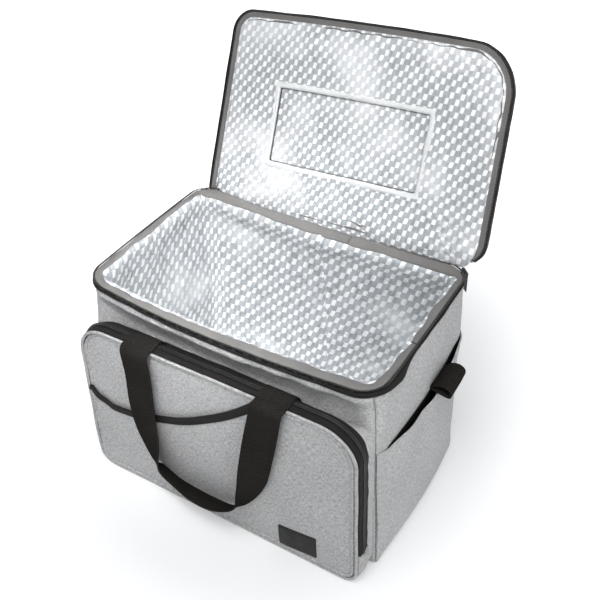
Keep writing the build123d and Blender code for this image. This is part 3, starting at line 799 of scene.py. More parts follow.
base_inset = 4.5 * mm
x, y = plate(half_x - base_inset, -half_y + base_inset, half_y - base_inset, 8 * mm, 40 * mm)
base = grid("base_cloth", np.stack([x, y, 0 * x + 0.45 * mm], -1), u=x[:, 0], v=y[0], flip=True)
wall(base, 1.3 * mm)
place(base, "bag", grey_cloth, "grey_cloth", "outer_base")


# %% [markdown]
# Foam fills the walls. It is hidden, but an exploded view or a cut shows it, so each slab is a closed
# solid between two depths of the same outline, settled like the cloth, and lies clear of both.
# %% Foam slabs
foam_levels = np.linspace(floor_z, 0.277, 30)
foam_radii = corner_radii(foam_levels)
outer_face, _, _ = wall_layer(foam_depth + 0.9 * mm, foam_levels[None, :], foam_radii)
inner_face, _, _ = wall_layer(liner_depth - 1.6 * mm, foam_levels[None, :], foam_radii)


def foam_slab(name, node, *ranges):
    """Closed slabs between the two faces over one or more ranges of the ring, as one piece."""
    points, faces = np.zeros((0, 3)), []
    for first, last in ranges:
        index = np.arange(first, last + 1) % n_ring
        loop = np.concatenate([outer_face[index], inner_face[index][:, ::-1]], 1)
        flat = settle(loop).reshape(-1, 3)
        faces += [block + len(points) for block in tube_faces(flat, *loop.shape[:2])]
        points = np.concatenate([points, flat])
    quads = np.concatenate([block for block in faces if block.shape[1] == 4])
    caps = np.concatenate([block for block in faces if block.shape[1] != 4])
    uv = np.zeros((quads.size + caps.size, 2))
    uv[:quads.size] = points[quads.ravel()][:, [0, 2]]
    slab = mesh_from(name, points, [quads, caps], uv)
    place(slab, "bag", foam_pale, "foam", node)


side_ends = (starts[3], starts[5], starts[7], n_ring + starts[1])
for side_name, first, last in zip(("left", "front", "right", "back"), starts[2::2], side_ends):
    foam_slab(f"{side_name}_foam", f"foam_{side_name}", (first + 1, last - 1))
foam_slab("corner_foam", "foam_corners", *[(starts[k], starts[k + 1]) for k in (1, 3, 5, 7)])
for node, material in (("foam_base", foam_pale), ("base_board", board_black)):
    frame["nodes"][node].material_slots[0].material = material
print("foam: four slabs and a piece with the four corners")

# %% [markdown]
# The foil lining hangs in the foam tub. At the mouth it rolls over the foam before it goes under the
# grey binding, and the roll is fullest along the front. Its pattern runs on round the corners, and
# its rows climb a little along the back and sink along the left, as the film was hung.
# %% The foil's section: heights and depths (mm) over the roll, down the wall and into the floor
roll = np.array([(289.3, 9.0), (290.6, 12.0), (290.6, 15.0), (289.0, 17.6), (285.6, 19.0), (280.0, 18.6)])
into_floor = np.linspace(0.5, pi / 2, 6)
heights = np.concatenate([roll[:, 0], np.linspace(274, 34, 49), 13.2 + 12 * (1 - np.sin(into_floor))])
depths = np.concatenate([roll[:, 1], np.interp(heights[6:-6], [25, 60, 250, 274], [11.0, 11.3, 12.0, 17.6]),
                         11.0 + 12 * (1 - np.cos(into_floor))])
fullness = np.interp(heights, [250, 268, 280], [0, 0.55, 1])[None, :]

# %% Foil walls
foil_xy, foil_normal, _ = outline(*corner_radii(heights * mm))
facing_front = np.clip(-foil_normal[:, :1, 1], 0, 1)
facing_back = np.clip(foil_normal[:, :1, 1], 0, 1)
facing_left = np.clip(-foil_normal[:, 0, 0], 0, 1)
foil_depth = (depths[None, :] - (1 - facing_front) * 3.2 * fullness) * mm
drop = (0.12 * (1 - facing_front) + 0.42 * facing_back) * np.clip(depths[None, :] - 3, 0, 16) * fullness
foil_z = (heights[None, :] - drop) * mm
foil_run = lengths(foil_xy[:, measured_level], wrap=True)
s_grid, h_grid = np.meshgrid(foil_run[:-1], heights * mm, indexing="ij")
crinkle = ripple(s_grid, h_grid, 60 * mm, 21) * 1.1 + ripple(s_grid, h_grid, 22 * mm, 22) * 0.55
crinkle = crinkle + np.abs(ripple(s_grid * 1.3, h_grid, 13 * mm, 23)) * 0.8 * (0.3 + facing_front * 1.2)
foil_depth = foil_depth + np.clip(crinkle, -1.4, 3) * mm * ease((290 * mm - h_grid) / (12 * mm))
foil_flat = foil_xy - foil_normal * foil_depth[..., None]
foil_points = settle(np.concatenate([foil_flat, foil_z[..., None]], -1))
foil_drop = lengths(np.stack([depths, heights], -1)) * mm
slope = 0.107 * facing_back[:, 0] - 0.2 * facing_left
climb = np.append(0, np.cumsum(slope * -np.diff(foil_run)))
climb -= climb[(starts[4] + starts[5]) // 2]
foil_walls = grid("foil_walls", foil_points, wrap_i=True, u=-foil_run, v=0.3 - foil_drop - climb[:, None])
wall(foil_walls, 0.5 * mm)
place(foil_walls, "bag", foil_inside, "foil", "foil_liner")

# %% Foil floor
floor_inset = liner_depth + 5 * mm
x, y = plate(half_x - floor_inset, -half_y + floor_inset, half_y - floor_inset, 12 * mm, 12 * mm,
             steps=(90, 60))
z = floor_z + (1.6 + 0.7 * ripple(x, y, 50 * mm, 31) + 0.4 * np.abs(ripple(x, y, 16 * mm, 32))) * mm
foil_floor = grid("foil_floor", np.stack([x, y, z], -1), u=np.linspace(-0.19, 0.19, len(x)), v=y[0])
wall(foil_floor, 0.4 * mm)
place(foil_floor, "bag", foil_inside, "foil")
print("foil: walls", foil_points.shape[:2], "and floor", x.shape)

# %% [markdown]
# The rim is where four things meet: outer cloth, the black half of the zip, grey binding, and foil.
# The binding is a flat ribbon with two joins. Along the back wall it tips in towards the room.
# %% Rim paths
rim_xy, rim_normal = (array[:, 0] for array in outline(*corner_radii(rim_z))[:2])
rim_out = np.concatenate([rim_normal, 0 * rim_normal[:, :1]], -1)
on_right, on_back = np.clip(rim_normal.T, 0, 1)
on_front = np.clip(-rim_normal[:, 1], 0, 1)


def rim_line(depth, z, slope=0.0):
    """A settled line round the mouth, set in by depth. slope lowers the line, along the back and a
    little at the ends, as it goes in from the edge."""
    depth = np.broadcast_to(depth, len(rim_xy))
    z = z - slope * depth * (0.50 * on_back + 0.14 * np.abs(rim_normal[:, 0]) - 0.05 * on_front)
    return settle(np.concatenate([rim_xy - rim_normal * depth[:, None], z[:, None]], -1))


run = lengths(rim_line(0, rim_z), wrap=True)[:-1]
flutter = ripple(run, 0 * run, 60 * mm, 41)
buckle = ripple(run, 0 * run, 24 * mm, 42)

# %% Binding ribbon, in three lengths
widening = ease((run - run[starts[4]]) / 0.3) * (run < run[starts[6]])
ribbon_width = (9.4 + (0.9 + 0.6 * on_right) * flutter + 1.9 * on_back + 2.4 * on_front * widening) * mm
edge_depth = (2.2 + 0.4 * buckle) * mm
outer_edge = rim_line(edge_depth, rim_z + (0.6 + 0.5 * flutter) * mm, slope=1)
inner_edge = rim_line(edge_depth + ribbon_width, rim_z + (0.9 + 0.5 * buckle) * mm, slope=1)
middle = (outer_edge + inner_edge) / 2
inward = unit(inner_edge - outer_edge)
ribbon_up = unit(np.cross(heading(middle, closed=True), inward))
ribbon_up *= np.sign(ribbon_up[:, 2:])
half = np.linalg.norm(inner_edge - outer_edge, axis=-1) / 2
ribbon = ribbon_section(1.1, 1.3, 0.9)
joins = [starts[1] + 9, starts[6] + 15, n_ring - starts[1] // 4, n_ring + starts[1] + 9]
for number, (first, last) in enumerate(zip(joins[:-1], joins[1:])):
    index = np.arange(first, last + 1) % n_ring
    profile = ribbon[None] * np.stack([half[index], 0 * index + mm], -1)[:, None]
    profile[-1] *= np.array([0.96, 0.4])
    profile[0, :, 1] += 0.5 * mm
    made = band(f"rim_binding_{number + 1}", middle[index], inward[index], ribbon_up[index], profile)
    place(made, "bag", grey_binding, "grey_binding", *first_only(number, "rim_binding"))

# %% Zip tape and coil on the body
index = np.arange(starts[1], starts[8] + 1)
flare = np.exp(-((run - run[starts[6] + 4]) / (16 * mm)) ** 2)
near_corner = np.exp(-((run - run[starts[5] + 8]) / (60 * mm)) ** 2)
top_line = rim_line((1.0 + 0.3 * buckle) * mm, tape_z + (1.2 + 0.4 * near_corner) * mm)
low_line = rim_line((-0.3 - 4.5 * flare - 0.5 * flutter - near_corner) * mm,
                    tape_z - (1.3 + 1.6 * flare + 0.4 * buckle + 3.6 * near_corner) * mm)
middle, rise = (top_line + low_line) / 2, top_line - low_line
tape_up = unit(rise)
tape_out = unit(rim_out - tape_up * (rim_out * tape_up).sum(-1, keepdims=True))
height = np.linalg.norm(rise, axis=-1)[index]
profile = pill(1.0 * mm, 1.0, 0.3 * mm, steps=3)[None] * np.stack([1 + 0 * height, height], -1)[:, None]
tape = band("body_zip_tape_cloth", middle[index], tape_out[index], tape_up[index], profile)
place(tape, "bag", black_tape, "black_tape", "body_zip_tape")

tooth, tooth_faces = capsule(2.9 * mm, 1.15 * mm, 1.9 * mm)
coil_pitch = 1.7 * mm


def coil(name, path, out, body, node):
    """A row of coil turns: each a small rod lying across the zip, one every pitch."""
    centre, ahead, across = along_path(path, coil_pitch, out)
    across = unit(across - ahead * (across * ahead).sum(-1, keepdims=True))
    row = copies(name, tooth, tooth_faces, centre, across, ahead, np.cross(across, ahead))
    place(row, body, coil_nylon, "zip_teeth", node)
    print(name + ":", len(centre), "turns")


coil_line = rim_line((1.3 - 1.5 * near_corner) * mm, coil_z + 0 * run)
coil("body_zip_coil", coil_line[index], rim_out[index], "bag", "body_zip_teeth")

# %% [markdown]
# ## The lid
# The lid is a thin padded panel: heather cloth outside, foam, printed foil inside, and half of the
# zip round three sides. Thrown back, it leans a little askew and its front edge droops. As with the
# body, one function places every layer, from a flat plan (u across, v from the hinge, w inwards).
# %% The lid's own plan
lid_open = radians(-frame["joints"][0]["range_deg"][0])
lid_along = np.array([0, -cos(lid_open), sin(lid_open)])
lid_inward = np.array([0, -sin(lid_open), -cos(lid_open)])
lid_left, lid_right, lid_low, lid_high = -190 * mm, 200.5 * mm, 1.5 * mm, 247 * mm
lid_radii = (28 * mm, 14 * mm, 26 * mm, 58 * mm)
lid_counts = (40, 14, 34, 12, 70)
skew = 0.045
far_v = 240 * mm


def on_lid(u, v, w):
    """Where a point of the lid's plan lies in the room: skewed a little, its front edge bowed out by
    4 mm and drooping by 8 mm in the middle, its right edge drawn out near the hinge and in at the
    front, and eased back below the hinge line, then turned open."""
    across = np.clip(1 - (u / half_x) ** 2, 0, 1)
    far = ease(v / far_v)
    w = w + 8 * mm * across * far ** 2 - 2.5 * mm * ease((14 * mm - v) / (20 * mm))
    skewed = skew * u * (1 - 0.6 * ease((40 * mm - v) / (40 * mm)) * (u > 0))
    v = v + skewed + 4 * mm * across * far - 4 * mm * (1 - far)
    right_shift = (10 - 18 * np.clip(v / far_v, 0, 1)) * mm
    p = np.array(hinge) + v[..., None] * lid_along + w[..., None] * lid_inward
    p[..., 0] = u + np.clip(u / half_x, 0, 1) ** 2 * right_shift
    return p


def lid_line(flat, w):
    """A line of the plan, (n, 2) points at height w, placed in the room."""
    return on_lid(*flat.T, w + 0 * flat[:, 0])


def lid_ring(depth):
    """The lid's outline set in by depth, with outward normals in the plan."""
    xy, normal, starts = rounded_ring(lid_left, lid_right, lid_low, lid_high, lid_radii, lid_counts)
    return xy - normal * np.broadcast_to(depth, len(xy))[:, None], normal, starts


window_half, window_low, window_high = 106 * mm, 63.5 * mm, 158.5 * mm


def window_ring(grow, radius, counts):
    """The window's outline, grown by a margin."""
    return rounded_ring(-window_half - grow, window_half + grow, window_low - grow, window_high + grow,
                        [radius] * 4, counts)[0]


def lid_sheet(name, depth, grow, w, rows, low_reach=0.0):
    """A sheet between the lid's outline, set in by depth, and the window's, grown by a margin. w gives
    its height for the plan's u, v and the share t from window to edge."""
    outer = lid_ring(depth)[0]
    outer = outer - np.array([0, 1]) * low_reach * ease((30 * mm - outer[:, 1:]) / (30 * mm))
    inner = window_ring(grow, 2.5 * mm + max(grow, 0) * 0.3, lid_counts)
    t = np.linspace(0, 1, rows)[None, :, None]
    plan = inner[:, None] * (1 - t) + outer[:, None] * t
    u, v = plan[..., 0], plan[..., 1]
    return grid(name, on_lid(u, v, w(u, v, t[..., 0])), wrap_i=True, u=u, v=v)


# %% Foil, foam and outer cloth of the lid
def foil_height(u, v, t):
    """Just under the binding at the edge and the frame at the window; soft swells between, and sharp
    folds where the cloth is pulled at the hinge's right end."""
    rest = np.sin(pi * np.clip(t, 0, 1)) ** 0.5
    swell = 1.6 * ripple(u, v, 90 * mm, 51) + 0.7 * ripple(u, v, 34 * mm, 52)
    crease = np.abs(ripple(u, v, 18 * mm, 53)) * 0.6
    corner = np.exp(-((u - 160 * mm) ** 2 + (v - 28 * mm) ** 2) / (26 * mm) ** 2)
    pulled = corner * np.abs(ripple(u * 1.2, v, 12 * mm, 54)) * 3.0
    return (-1.9 + rest * (1.2 + swell * 0.8 + crease) + pulled) * mm


def skin_height(u, v, t):
    """The outer cloth: flat, rounded inwards near the lid's edge, with soft folds."""
    return (-12.4 - 1.8 * np.cos(pi / 2 * t ** 6) + 0.4 * ripple(u, v, 50 * mm, 55)) * mm


lid_foil_sheet = lid_sheet("lid_foil", 9 * mm, -1.5 * mm, foil_height, rows=44, low_reach=19 * mm)
wall(lid_foil_sheet, 0.4 * mm)
place(lid_foil_sheet, "lid", foil_lid, "foil", "lid_liner")

t = np.linspace(0, 1, 8)[None, :, None]
pad_front = window_ring(1 * mm, 2.8 * mm, lid_counts)[:, None] * (1 - t) + lid_ring(2.4 * mm)[0][:, None] * t
u, v = np.moveaxis(np.concatenate([pad_front, pad_front[:, ::-1]], 1), -1, 0)
w = np.repeat([-3.6 * mm, -12.2 * mm], 8)[None, :] + 0 * u
lid_pad = grid("lid_foam_pad", on_lid(u, v, w), wrap_i=True, wrap_j=True)
place(lid_pad, "lid", foam_pale, "foam", "lid_foam")

lid_skin = lid_sheet("lid_cloth", 1.2 * mm, 0.5 * mm, skin_height, rows=30)
lid_skin.data.flip_normals()
wall(lid_skin, 1.3 * mm)
place(lid_skin, "lid", grey_cloth, "grey_cloth", "lid_outer")

# %% [markdown]
# Round the lid's edge, from the back to the front: a fold of grey cloth, the black zip tape with its
# coil, and a grey binding that laps onto the foil. All four are bands carried round the outline.
# %% Lid edge bands
plain_ring, plain_normal, lid_starts = lid_ring(0)
edge_run = lengths(plain_ring, wrap=True)[:-1]
lid_flutter = ripple(edge_run, 0 * edge_run, 70 * mm, 56)
lid_buckle = ripple(edge_run, 0 * edge_run, 22 * mm, 57)
everywhere = np.arange(len(edge_run))
zip_index = np.concatenate([np.arange(lid_starts[5] + 5, len(edge_run)), np.arange(0, lid_starts[3] + 5)])


def lid_band(name, start, end, thick, crown, index, material, slot, node):
    """A ribbon from one line (depth, w) to another round the lid's outline, in millimetres, with a
    crowned section."""
    low, high = (lid_line(lid_ring(depth * mm)[0], w * mm) for depth, w in (start, end))
    middle, rise = (low + high) / 2, (high - low) / 2
    across = unit(rise)
    out = unit(np.cross(heading(middle, closed=True), across))
    half = np.linalg.norm(rise, axis=-1)[index]
    profile = ribbon_section(thick * mm, crown * mm, crown * mm, 0.98)[None]
    profile = profile * np.stack([half, 1 + 0 * half], -1)[:, None]
    made = band(name, middle[index], across[index], out[index], profile, closed=len(index) == len(edge_run))
    place(made, "lid", material, slot, node)


lid_band("lid_edge_cloth", (1.0, -13.6), (0.7, -8.4), 1.2, -0.7, everywhere, grey_cloth, "grey_cloth",
         "lid_band")
splay = 2.6 * np.clip(-plain_normal[:, 0], 0, 1) + 0.8
lid_band("lid_zip_tape_cloth", (0.2 + 0.4 * lid_buckle, -9.8), (0.6 - splay + 0.5 * lid_flutter, -2.4),
         1.0, -0.3, zip_index, black_tape, "black_tape", "lid_zip_tape")
lid_band("lid_binding_ribbon", (2.6, -1.2), (12.4 + 0.7 * lid_buckle, -1.2 + 0.4 * lid_flutter), 1.0, -1.2,
         everywhere, grey_binding, "grey_binding", "lid_binding")
coil_ring = lid_ring(1.2 * mm)[0]
path = lid_line(coil_ring, -1.6 * mm)
outer_path = lid_line(coil_ring + plain_normal * 4 * mm, -1.6 * mm)
coil("lid_zip_coil", path[zip_index], unit(outer_path - path)[zip_index], "lid", "lid_zip_teeth")

# %% [markdown]
# A stitched window in the lid lets a hand in without opening it. Its edge is bound with a strip of
# film, puckered by two rows of stitches.
# %% Window frame
def window_line(grow, w):
    """A placed line round the window at a margin and height, in millimetres, with many points for its
    puckers."""
    return lid_line(window_ring(grow * mm, (3 + grow * 0.2) * mm, (60, 6, 52, 6, 120)), w * mm)


rim_run = lengths(window_line(0, 0), wrap=True)[:-1]
pucker = ripple(rim_run, 0 * rim_run, 9 * mm, 61)
slack = ripple(rim_run, 0 * rim_run, 45 * mm, 62)
frame_lines = ((-0.2, -5.2), (-0.9, -1.8 + 0.6 * slack), (-0.1, -0.9 + 0.5 * slack),
               (1.4, -0.5 + 0.5 * slack), (3.2, -0.55 + 0.35 * pucker), (4.9, -0.9 + 0.25 * pucker),
               (5.6, -1.8))
frame_points = np.stack([window_line(*line) for line in frame_lines], 1)
window_binding = grid("window_binding", frame_points, wrap_i=True,
                      u=np.append(rim_run, rim_run[-1] + 2 * mm), v=np.arange(7) * 2 * mm)
wall(window_binding, 0.5 * mm)
place(window_binding, "lid", frame_film, "foil_frame", "window_frame")
lift = np.broadcast_to(lid_inward, (len(rim_run), 3))
for number, grow in enumerate((0.9, 4.2)):
    row = stitches(f"window_stitches_{number + 1}", window_line(grow, -0.2 + 0.4 * slack), lift, closed=True)
    place(row, "lid", thread_white if number else thread_grey, "foil_frame")
print("lid: plan", round(lid_right - lid_left, 3), "x", round(lid_high - lid_low, 3), "m")

# %% [markdown]
# Outside, a padded flap covers the window. It is hinged by a strip of cloth near the lid's back edge
# and closes on hook-and-loop strips. Its inner face is a foam plug under foil that fills the window.
# %% Flap
flap_half, flap_low, flap_high = 124 * mm, 40 * mm, 180 * mm
flap_middle = (flap_low + flap_high) / 2
plug_gap, film_gap = 4 * mm, 2.2 * mm
plug_ring = rounded_ring(-window_half + plug_gap, window_half - plug_gap, window_low + plug_gap,
                         window_high - plug_gap, [4 * mm] * 4, (20, 5, 12, 5, 40))[0]
centre = np.array([0, (window_low + window_high) / 2])
share = np.array([0.0, 0.25, 0.5, 0.72, 0.88, 0.96, 1.0])
plug_face = centre + (plug_ring[:, None] - centre) * share[None, :, None]
u, v = np.moveaxis(np.concatenate([plug_face, plug_face[:, ::-1]], 1), -1, 0)
w = np.repeat([-6.2 * mm, -15.8 * mm], len(share))[None, :] + 0 * u
flap_pad = grid("flap_pad", on_lid(u, v, w), wrap_i=True, u=u, v=v)
merge(flap_pad)
place(flap_pad, "flap", foam_pale, "foam", "flap_foam")

x, y = plate(window_half - film_gap, window_low + film_gap, window_high - film_gap, 3 * mm, 3 * mm,
             steps=(60, 30))
w = (-4.4 + 0.5 * ripple(x, y, 60 * mm, 63) + 0.25 * np.abs(ripple(x, y, 16 * mm, 64))) * mm
flap_foil = grid("flap_foil", on_lid(x, y, w), u=x, v=y)
wall(flap_foil, 0.4 * mm)
place(flap_foil, "flap", foil_lid, "foil", "flap_liner")

x, y = plate(flap_half, flap_low - flap_middle, flap_high - flap_middle, 12 * mm, 12 * mm)
y = y + flap_middle
edge = np.minimum(flap_half - np.abs(x), np.minimum(y - flap_low, flap_high - y))
w = (-17.0 - 1.6 * ease(edge / (14 * mm)) + 0.3 * ripple(x, y, 50 * mm, 65)) * mm
flap_cloth = grid("flap_cloth", on_lid(x, y, w), u=x, v=y, flip=True)
wall(flap_cloth, 1.2 * mm)
place(flap_cloth, "flap", grey_cloth, "grey_cloth", "flap_outer")


# %% Piping, hook-and-loop strips and the pull tab
def plan_ribbon(name, flat, w, width, thick, body, material, slot, *nodes, closed=False):
    """A flat tape laid along a line of the lid's plan."""
    centre = lid_line(flat, w)
    up = np.broadcast_to(lid_inward, centre.shape)
    side = unit(np.cross(heading(centre, closed), up))
    made = band(name, centre, side, up, pill(width, thick), closed=closed)
    place(made, body, material, slot, *nodes)


def across_plan(half, v, count=30):
    """A straight line across the plan, from -half to half (mm) at v."""
    return np.stack([np.linspace(-half, half, count) * mm, np.full(count, v * mm)], -1)


edge_inset = 1 * mm
flap_ring = rounded_ring(-flap_half + edge_inset, flap_half - edge_inset, flap_low + edge_inset,
                         flap_high - edge_inset, [12 * mm] * 4, (30, 8, 20, 8, 60))[0]
plan_ribbon("flap_edge_piping", flap_ring, -17.2 * mm, 2.6 * mm, 2.6 * mm, "flap", grey_binding,
            "grey_piping", closed=True)
plan_ribbon("flap_hinge_cord", across_plan(113, 37.2), -16.6 * mm, 3 * mm, 3 * mm, "lid", grey_binding,
            "grey_piping", "flap_piping")
upright = np.linspace(66, 156, 20) * mm
for name, w, body, material, node in (("loop_tape", -15.7 * mm, "lid", black_tape, "loop_strips"),
                                      ("hook_tape", -16.6 * mm, "flap", grip_cloth, "hook_strips")):
    strips = [np.stack([0 * upright + end, upright], -1) for end in (-115 * mm, 115 * mm)]
    for number, flat in enumerate(strips + [across_plan(98, 170.5)]):
        plan_ribbon(f"{name}_{number + 1}", flat, w, 11 * mm, 0.9 * mm, body, material, "grip_tape",
                    *first_only(number, node))
t = np.linspace(0, 1, 14)
tab_line = np.stack([0 * t, flap_high - 8 * mm + 26 * mm * t], -1)
plan_ribbon("flap_pull_tab", tab_line, (-19.4 + 1.0 * np.sin(pi * t)) * mm, 25 * mm, 1.6 * mm, "flap",
            black_webbing, "black_webbing", "flap_tab")

# %% [markdown]
# The hinge is only cloth: a strip sewn to the top of the back wall and to the lid's outer cloth. It has to
# bend when the lid moves, so it rides on neither body.
# %% Hinge cloth
u = np.linspace(-168, 168, 90) * mm
foot = settle(np.stack([u, half_y + 1.0 * mm + 0 * u, wall_top_z - 9 * mm + 0 * u], -1))
crest = settle(np.stack([u, half_y + 1.2 * mm + 0 * u, 279.5 * mm + 0 * u], -1))
meet = on_lid(u, 7 * mm - skew * u * 0.6, -12.6 * mm + 0 * u)
tuck = on_lid(u, 14 * mm + 0 * u, -14.6 * mm + 0 * u)
bulge = (crest + meet) / 2 + np.array([0, 2.0, 0.5]) * mm
hinge_points = smooth(np.stack([foot, (foot + crest) / 2, crest, bulge, meet, tuck], 1), 6)
hinge_cloth = grid("hinge_cloth", hinge_points, u=u, v=lengths(hinge_points[0]), flip=True)
wall(hinge_cloth, 1.2 * mm)
dress(hinge_cloth, grey_cloth, "grey_cloth", "hinge_strip", "hinge_piping")
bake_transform(hinge_cloth)
print("hinge cloth:", hinge_points.shape[:2])

# %% [markdown]
# ## The front pocket
# The front pocket is a flat box of its own: a cloth panel, a corded edge, a band of black zip that
# runs up both sides and over the top, and a grey gusset that joins it to the bag. All of them follow
# one rounded rectangle, so one ring of points carries the whole set. On top, the gusset dips into a
# deep fold against the bag's wall.
# %% The pocket's outline
pocket_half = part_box("pocket_piping")[1].x
pocket_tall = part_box("pocket_piping")[1].z
panel_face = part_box("pocket_front")[0].y + 0.6 * mm
zip_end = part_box("zip_wraps")[1].z
top_radius, low_radius = 48 * mm, 21 * mm


def pocket_ring(grow=0.0):
    """The pocket's outline seen from the front, grown by a margin: points (x, z), outward normals
    and where each side and corner starts, from the middle of the top."""
    top, low = top_radius + grow, low_radius + grow
    return rounded_ring(-pocket_half - grow, pocket_half + grow, 1.5 * mm - grow, pocket_tall + grow,
                        (top, low, low, top), (60, 26, 50, 16, 110))


ring_xz, ring_normal, ring_starts = pocket_ring()
ring_out = np.stack([ring_normal[:, 0], 0 * ring_normal[:, 0], ring_normal[:, 1]], -1)
pocket_run = lengths(ring_xz, wrap=True)[:-1]
soft = ripple(pocket_run, 0 * pocket_run, 80 * mm, 71)
fine = ripple(pocket_run, 0 * pocket_run, 26 * mm, 72)
on_top = np.clip(ring_normal[:, 1], 0, 1) ** 3


def slump(x, z):
    """The pocket's left side leans: drawn in by 6 mm at the top and out by 7 mm at the bottom."""
    return x + (13 * ease(z / pocket_tall) - 7) * mm * np.clip(-x / pocket_half, 0, 1) ** 3


def pocket_line(y, grow, dip=0.0):
    """A line round the pocket at depth y, grown by a margin, all in millimetres; it wavers a little
    with the cloth, and dip lowers it along the top."""
    grow = np.broadcast_to(grow + 0.5 * soft, len(ring_xz)) * mm
    xz = ring_xz + ring_normal * grow[:, None]
    z = np.maximum(xz[:, 1] - dip * mm * on_top, 0.6 * mm)
    return np.stack([slump(xz[:, 0], z), np.broadcast_to(y * mm, len(xz)), z], -1)


def pocket_strip(name, lines, index, thickness, material, slot, node, closed=False):
    """A cloth strip through several lines round the pocket, from one face to the other. Returns the
    piece and its length."""
    p = np.stack([pocket_line(*line) for line in lines], 1)[index]
    run = lengths(p[:, 0], wrap=closed)
    made = grid(name, p, wrap_i=closed, u=run, v=lengths(p[0]), flip=True)
    wall(made, thickness)
    return place(made, "bag", material, slot, node), float(run[-1])


# %% Gusset
level = ring_xz[:, 1]
every = np.arange(len(level))
above_end = level > zip_end - 4 * mm
first_up = np.argmax(above_end & (every > ring_starts[5]))
last_down = np.nonzero(above_end & (every < ring_starts[3]))[0][-1]
zip_run = np.concatenate([every[first_up:], every[:last_down + 1]])
gusset_lines = ((-136, 0.6, 5.5), (-133, 1.4, 9.5), (-129, 2.0, 16), (-125, 2.2, 22), (-120, 2.0, 28),
                (-115, -1.0, 33))
gusset, run_length = pocket_strip("pocket_gusset_cloth", gusset_lines, every, 1.0 * mm, grey_cloth,
                                  "grey_cloth", "pocket_gusset", closed=True)

# %% Zip tapes, ridges and the cloth below the zip
front_lines = [(y, grow + 0.25 * fine) for y, grow in ((-156.4, -0.4), (-155.0, 1.0), (-151.5, 2.1),
                                                       (-147.8, 2.2))]
pocket_strip("pocket_tape_front_cloth", front_lines, zip_run, 0.8 * mm, black_tape, "black_tape",
             "pocket_tape_front")
# In its last two lines, along the top, the black rear tape is carried down and back towards the wall: a dark
# sheet laid as painted shade over the fold behind the pocket, where the gusset is grey.
painted_shade_reach = on_top * ease((130 * mm - ring_xz[:, 0]) / (90 * mm))
rear_lines = [(y + reach * painted_shade_reach, grow - 0.25 * fine, dip) for y, grow, dip, reach in (
    (-143.4, 2.2, 0, 0), (-140.8, 2.2, 0.6, 0), (-137.6, 1.8, 2.8, 0), (-134.2, 1.0, 6.2, 0),
    (-134.1, 0.9, 7.6, 3.5), (-134.0, 0.8, 10.0, 8))]
pocket_strip("pocket_tape_rear_cloth", rear_lines, zip_run, 0.8 * mm, black_tape, "black_tape",
             "pocket_tape_rear")
for number, y in enumerate((-147.0, -144.4)):
    centre, ahead, up = along_path(pocket_line(y, 2.2)[zip_run], 1.6 * mm, ring_out[zip_run])
    ridge = band(f"pocket_zip_ridge_{number + 1}", centre, unit(np.cross(ahead, up)), up,
                 pill(1.3 * mm, 2.4 * mm))
    place(ridge, "bag", coil_nylon, "zip_teeth", *first_only(number, "pocket_teeth"))
low_lines = ((-156.8, -0.2), (-155.2, 1.8), (-150, 2.9), (-143, 3.0), (-137.5, 2.6), (-133, 1.6))
low_cloth, run_length = pocket_strip("pocket_floor_cloth", low_lines, every[last_down - 3:first_up + 4],
                                     1.0 * mm, grey_cloth, "grey_cloth", "pocket_floor")

# %% [markdown]
# At its two ends the zip runs under a small folded cloth tab, cut on a slant.
# %% Zip end tabs
tab_lines = ((-156.6, 0.4), (-154.8, 2.8), (-150, 3.9), (-143, 4.0), (-137.5, 3.6), (-133, 2.2))
lines = np.stack([pocket_line(*line) for line in tab_lines], 1)
rows = np.linspace(0, 1, 8)[:, None]
slant = np.linspace(0, 0.325, len(tab_lines))[None, :]
ends = (("left", last_down - 4, last_down + 6), ("right", first_up + 4, first_up - 6))
for number, (side_name, near, far) in enumerate(ends):
    steps = near + (far - near) * (rows * (1 - slant) + slant)
    low, part = np.floor(steps).astype(int), (steps % 1)[..., None]
    across = np.arange(len(tab_lines))[None, :] + 0 * low
    p = lines[low, across] * (1 - part) + lines[low + 1, across] * part
    tab = grid(f"zip_tab_{side_name}", p, u=np.arange(8) * 3 * mm, v=lengths(p[0]), flip=near < far)
    wall(tab, 1.3 * mm)
    place(tab, "bag", seam_cloth, "grey_cloth", *first_only(number, "zip_wraps"))

# %% [markdown]
# The panel's edge is corded: a cord in a bias strip is sewn in all round, and a hem with one row of
# stitches lies just inside it. The height of the cloth is a function of its distance from the edge.
# %% Corded edge
forward = np.array([0.0, -1.0, 0.0])
edge_cord = band("pocket_edge_cord", pocket_line(-158.2, -1.0), ring_out,
                 np.broadcast_to(forward, ring_out.shape), pill(4.0 * mm, 3.6 * mm, steps=5), closed=True)
place(edge_cord, "bag", seam_cloth, "grey_piping", "pocket_piping")

# %% The panel's surface
cord_wide = 3.2 * mm
hem = 5.2 * mm
panel_half, panel_low, panel_high = pocket_half - cord_wide, 4.8 * mm, pocket_tall - cord_wide
panel_tall = panel_high - panel_low


def inside(x, z):
    """Distance in from the panel's outline: the usual one for a rectangle with rounded corners."""
    middle = (panel_low + panel_high) / 2
    r = np.where(z > middle, top_radius, low_radius) - cord_wide
    across, up = np.abs(x) - (panel_half - r), np.abs(z - middle) - (panel_tall / 2 - r)
    return r - np.hypot(np.maximum(across, 0), np.maximum(up, 0)) - np.minimum(np.maximum(across, up), 0)


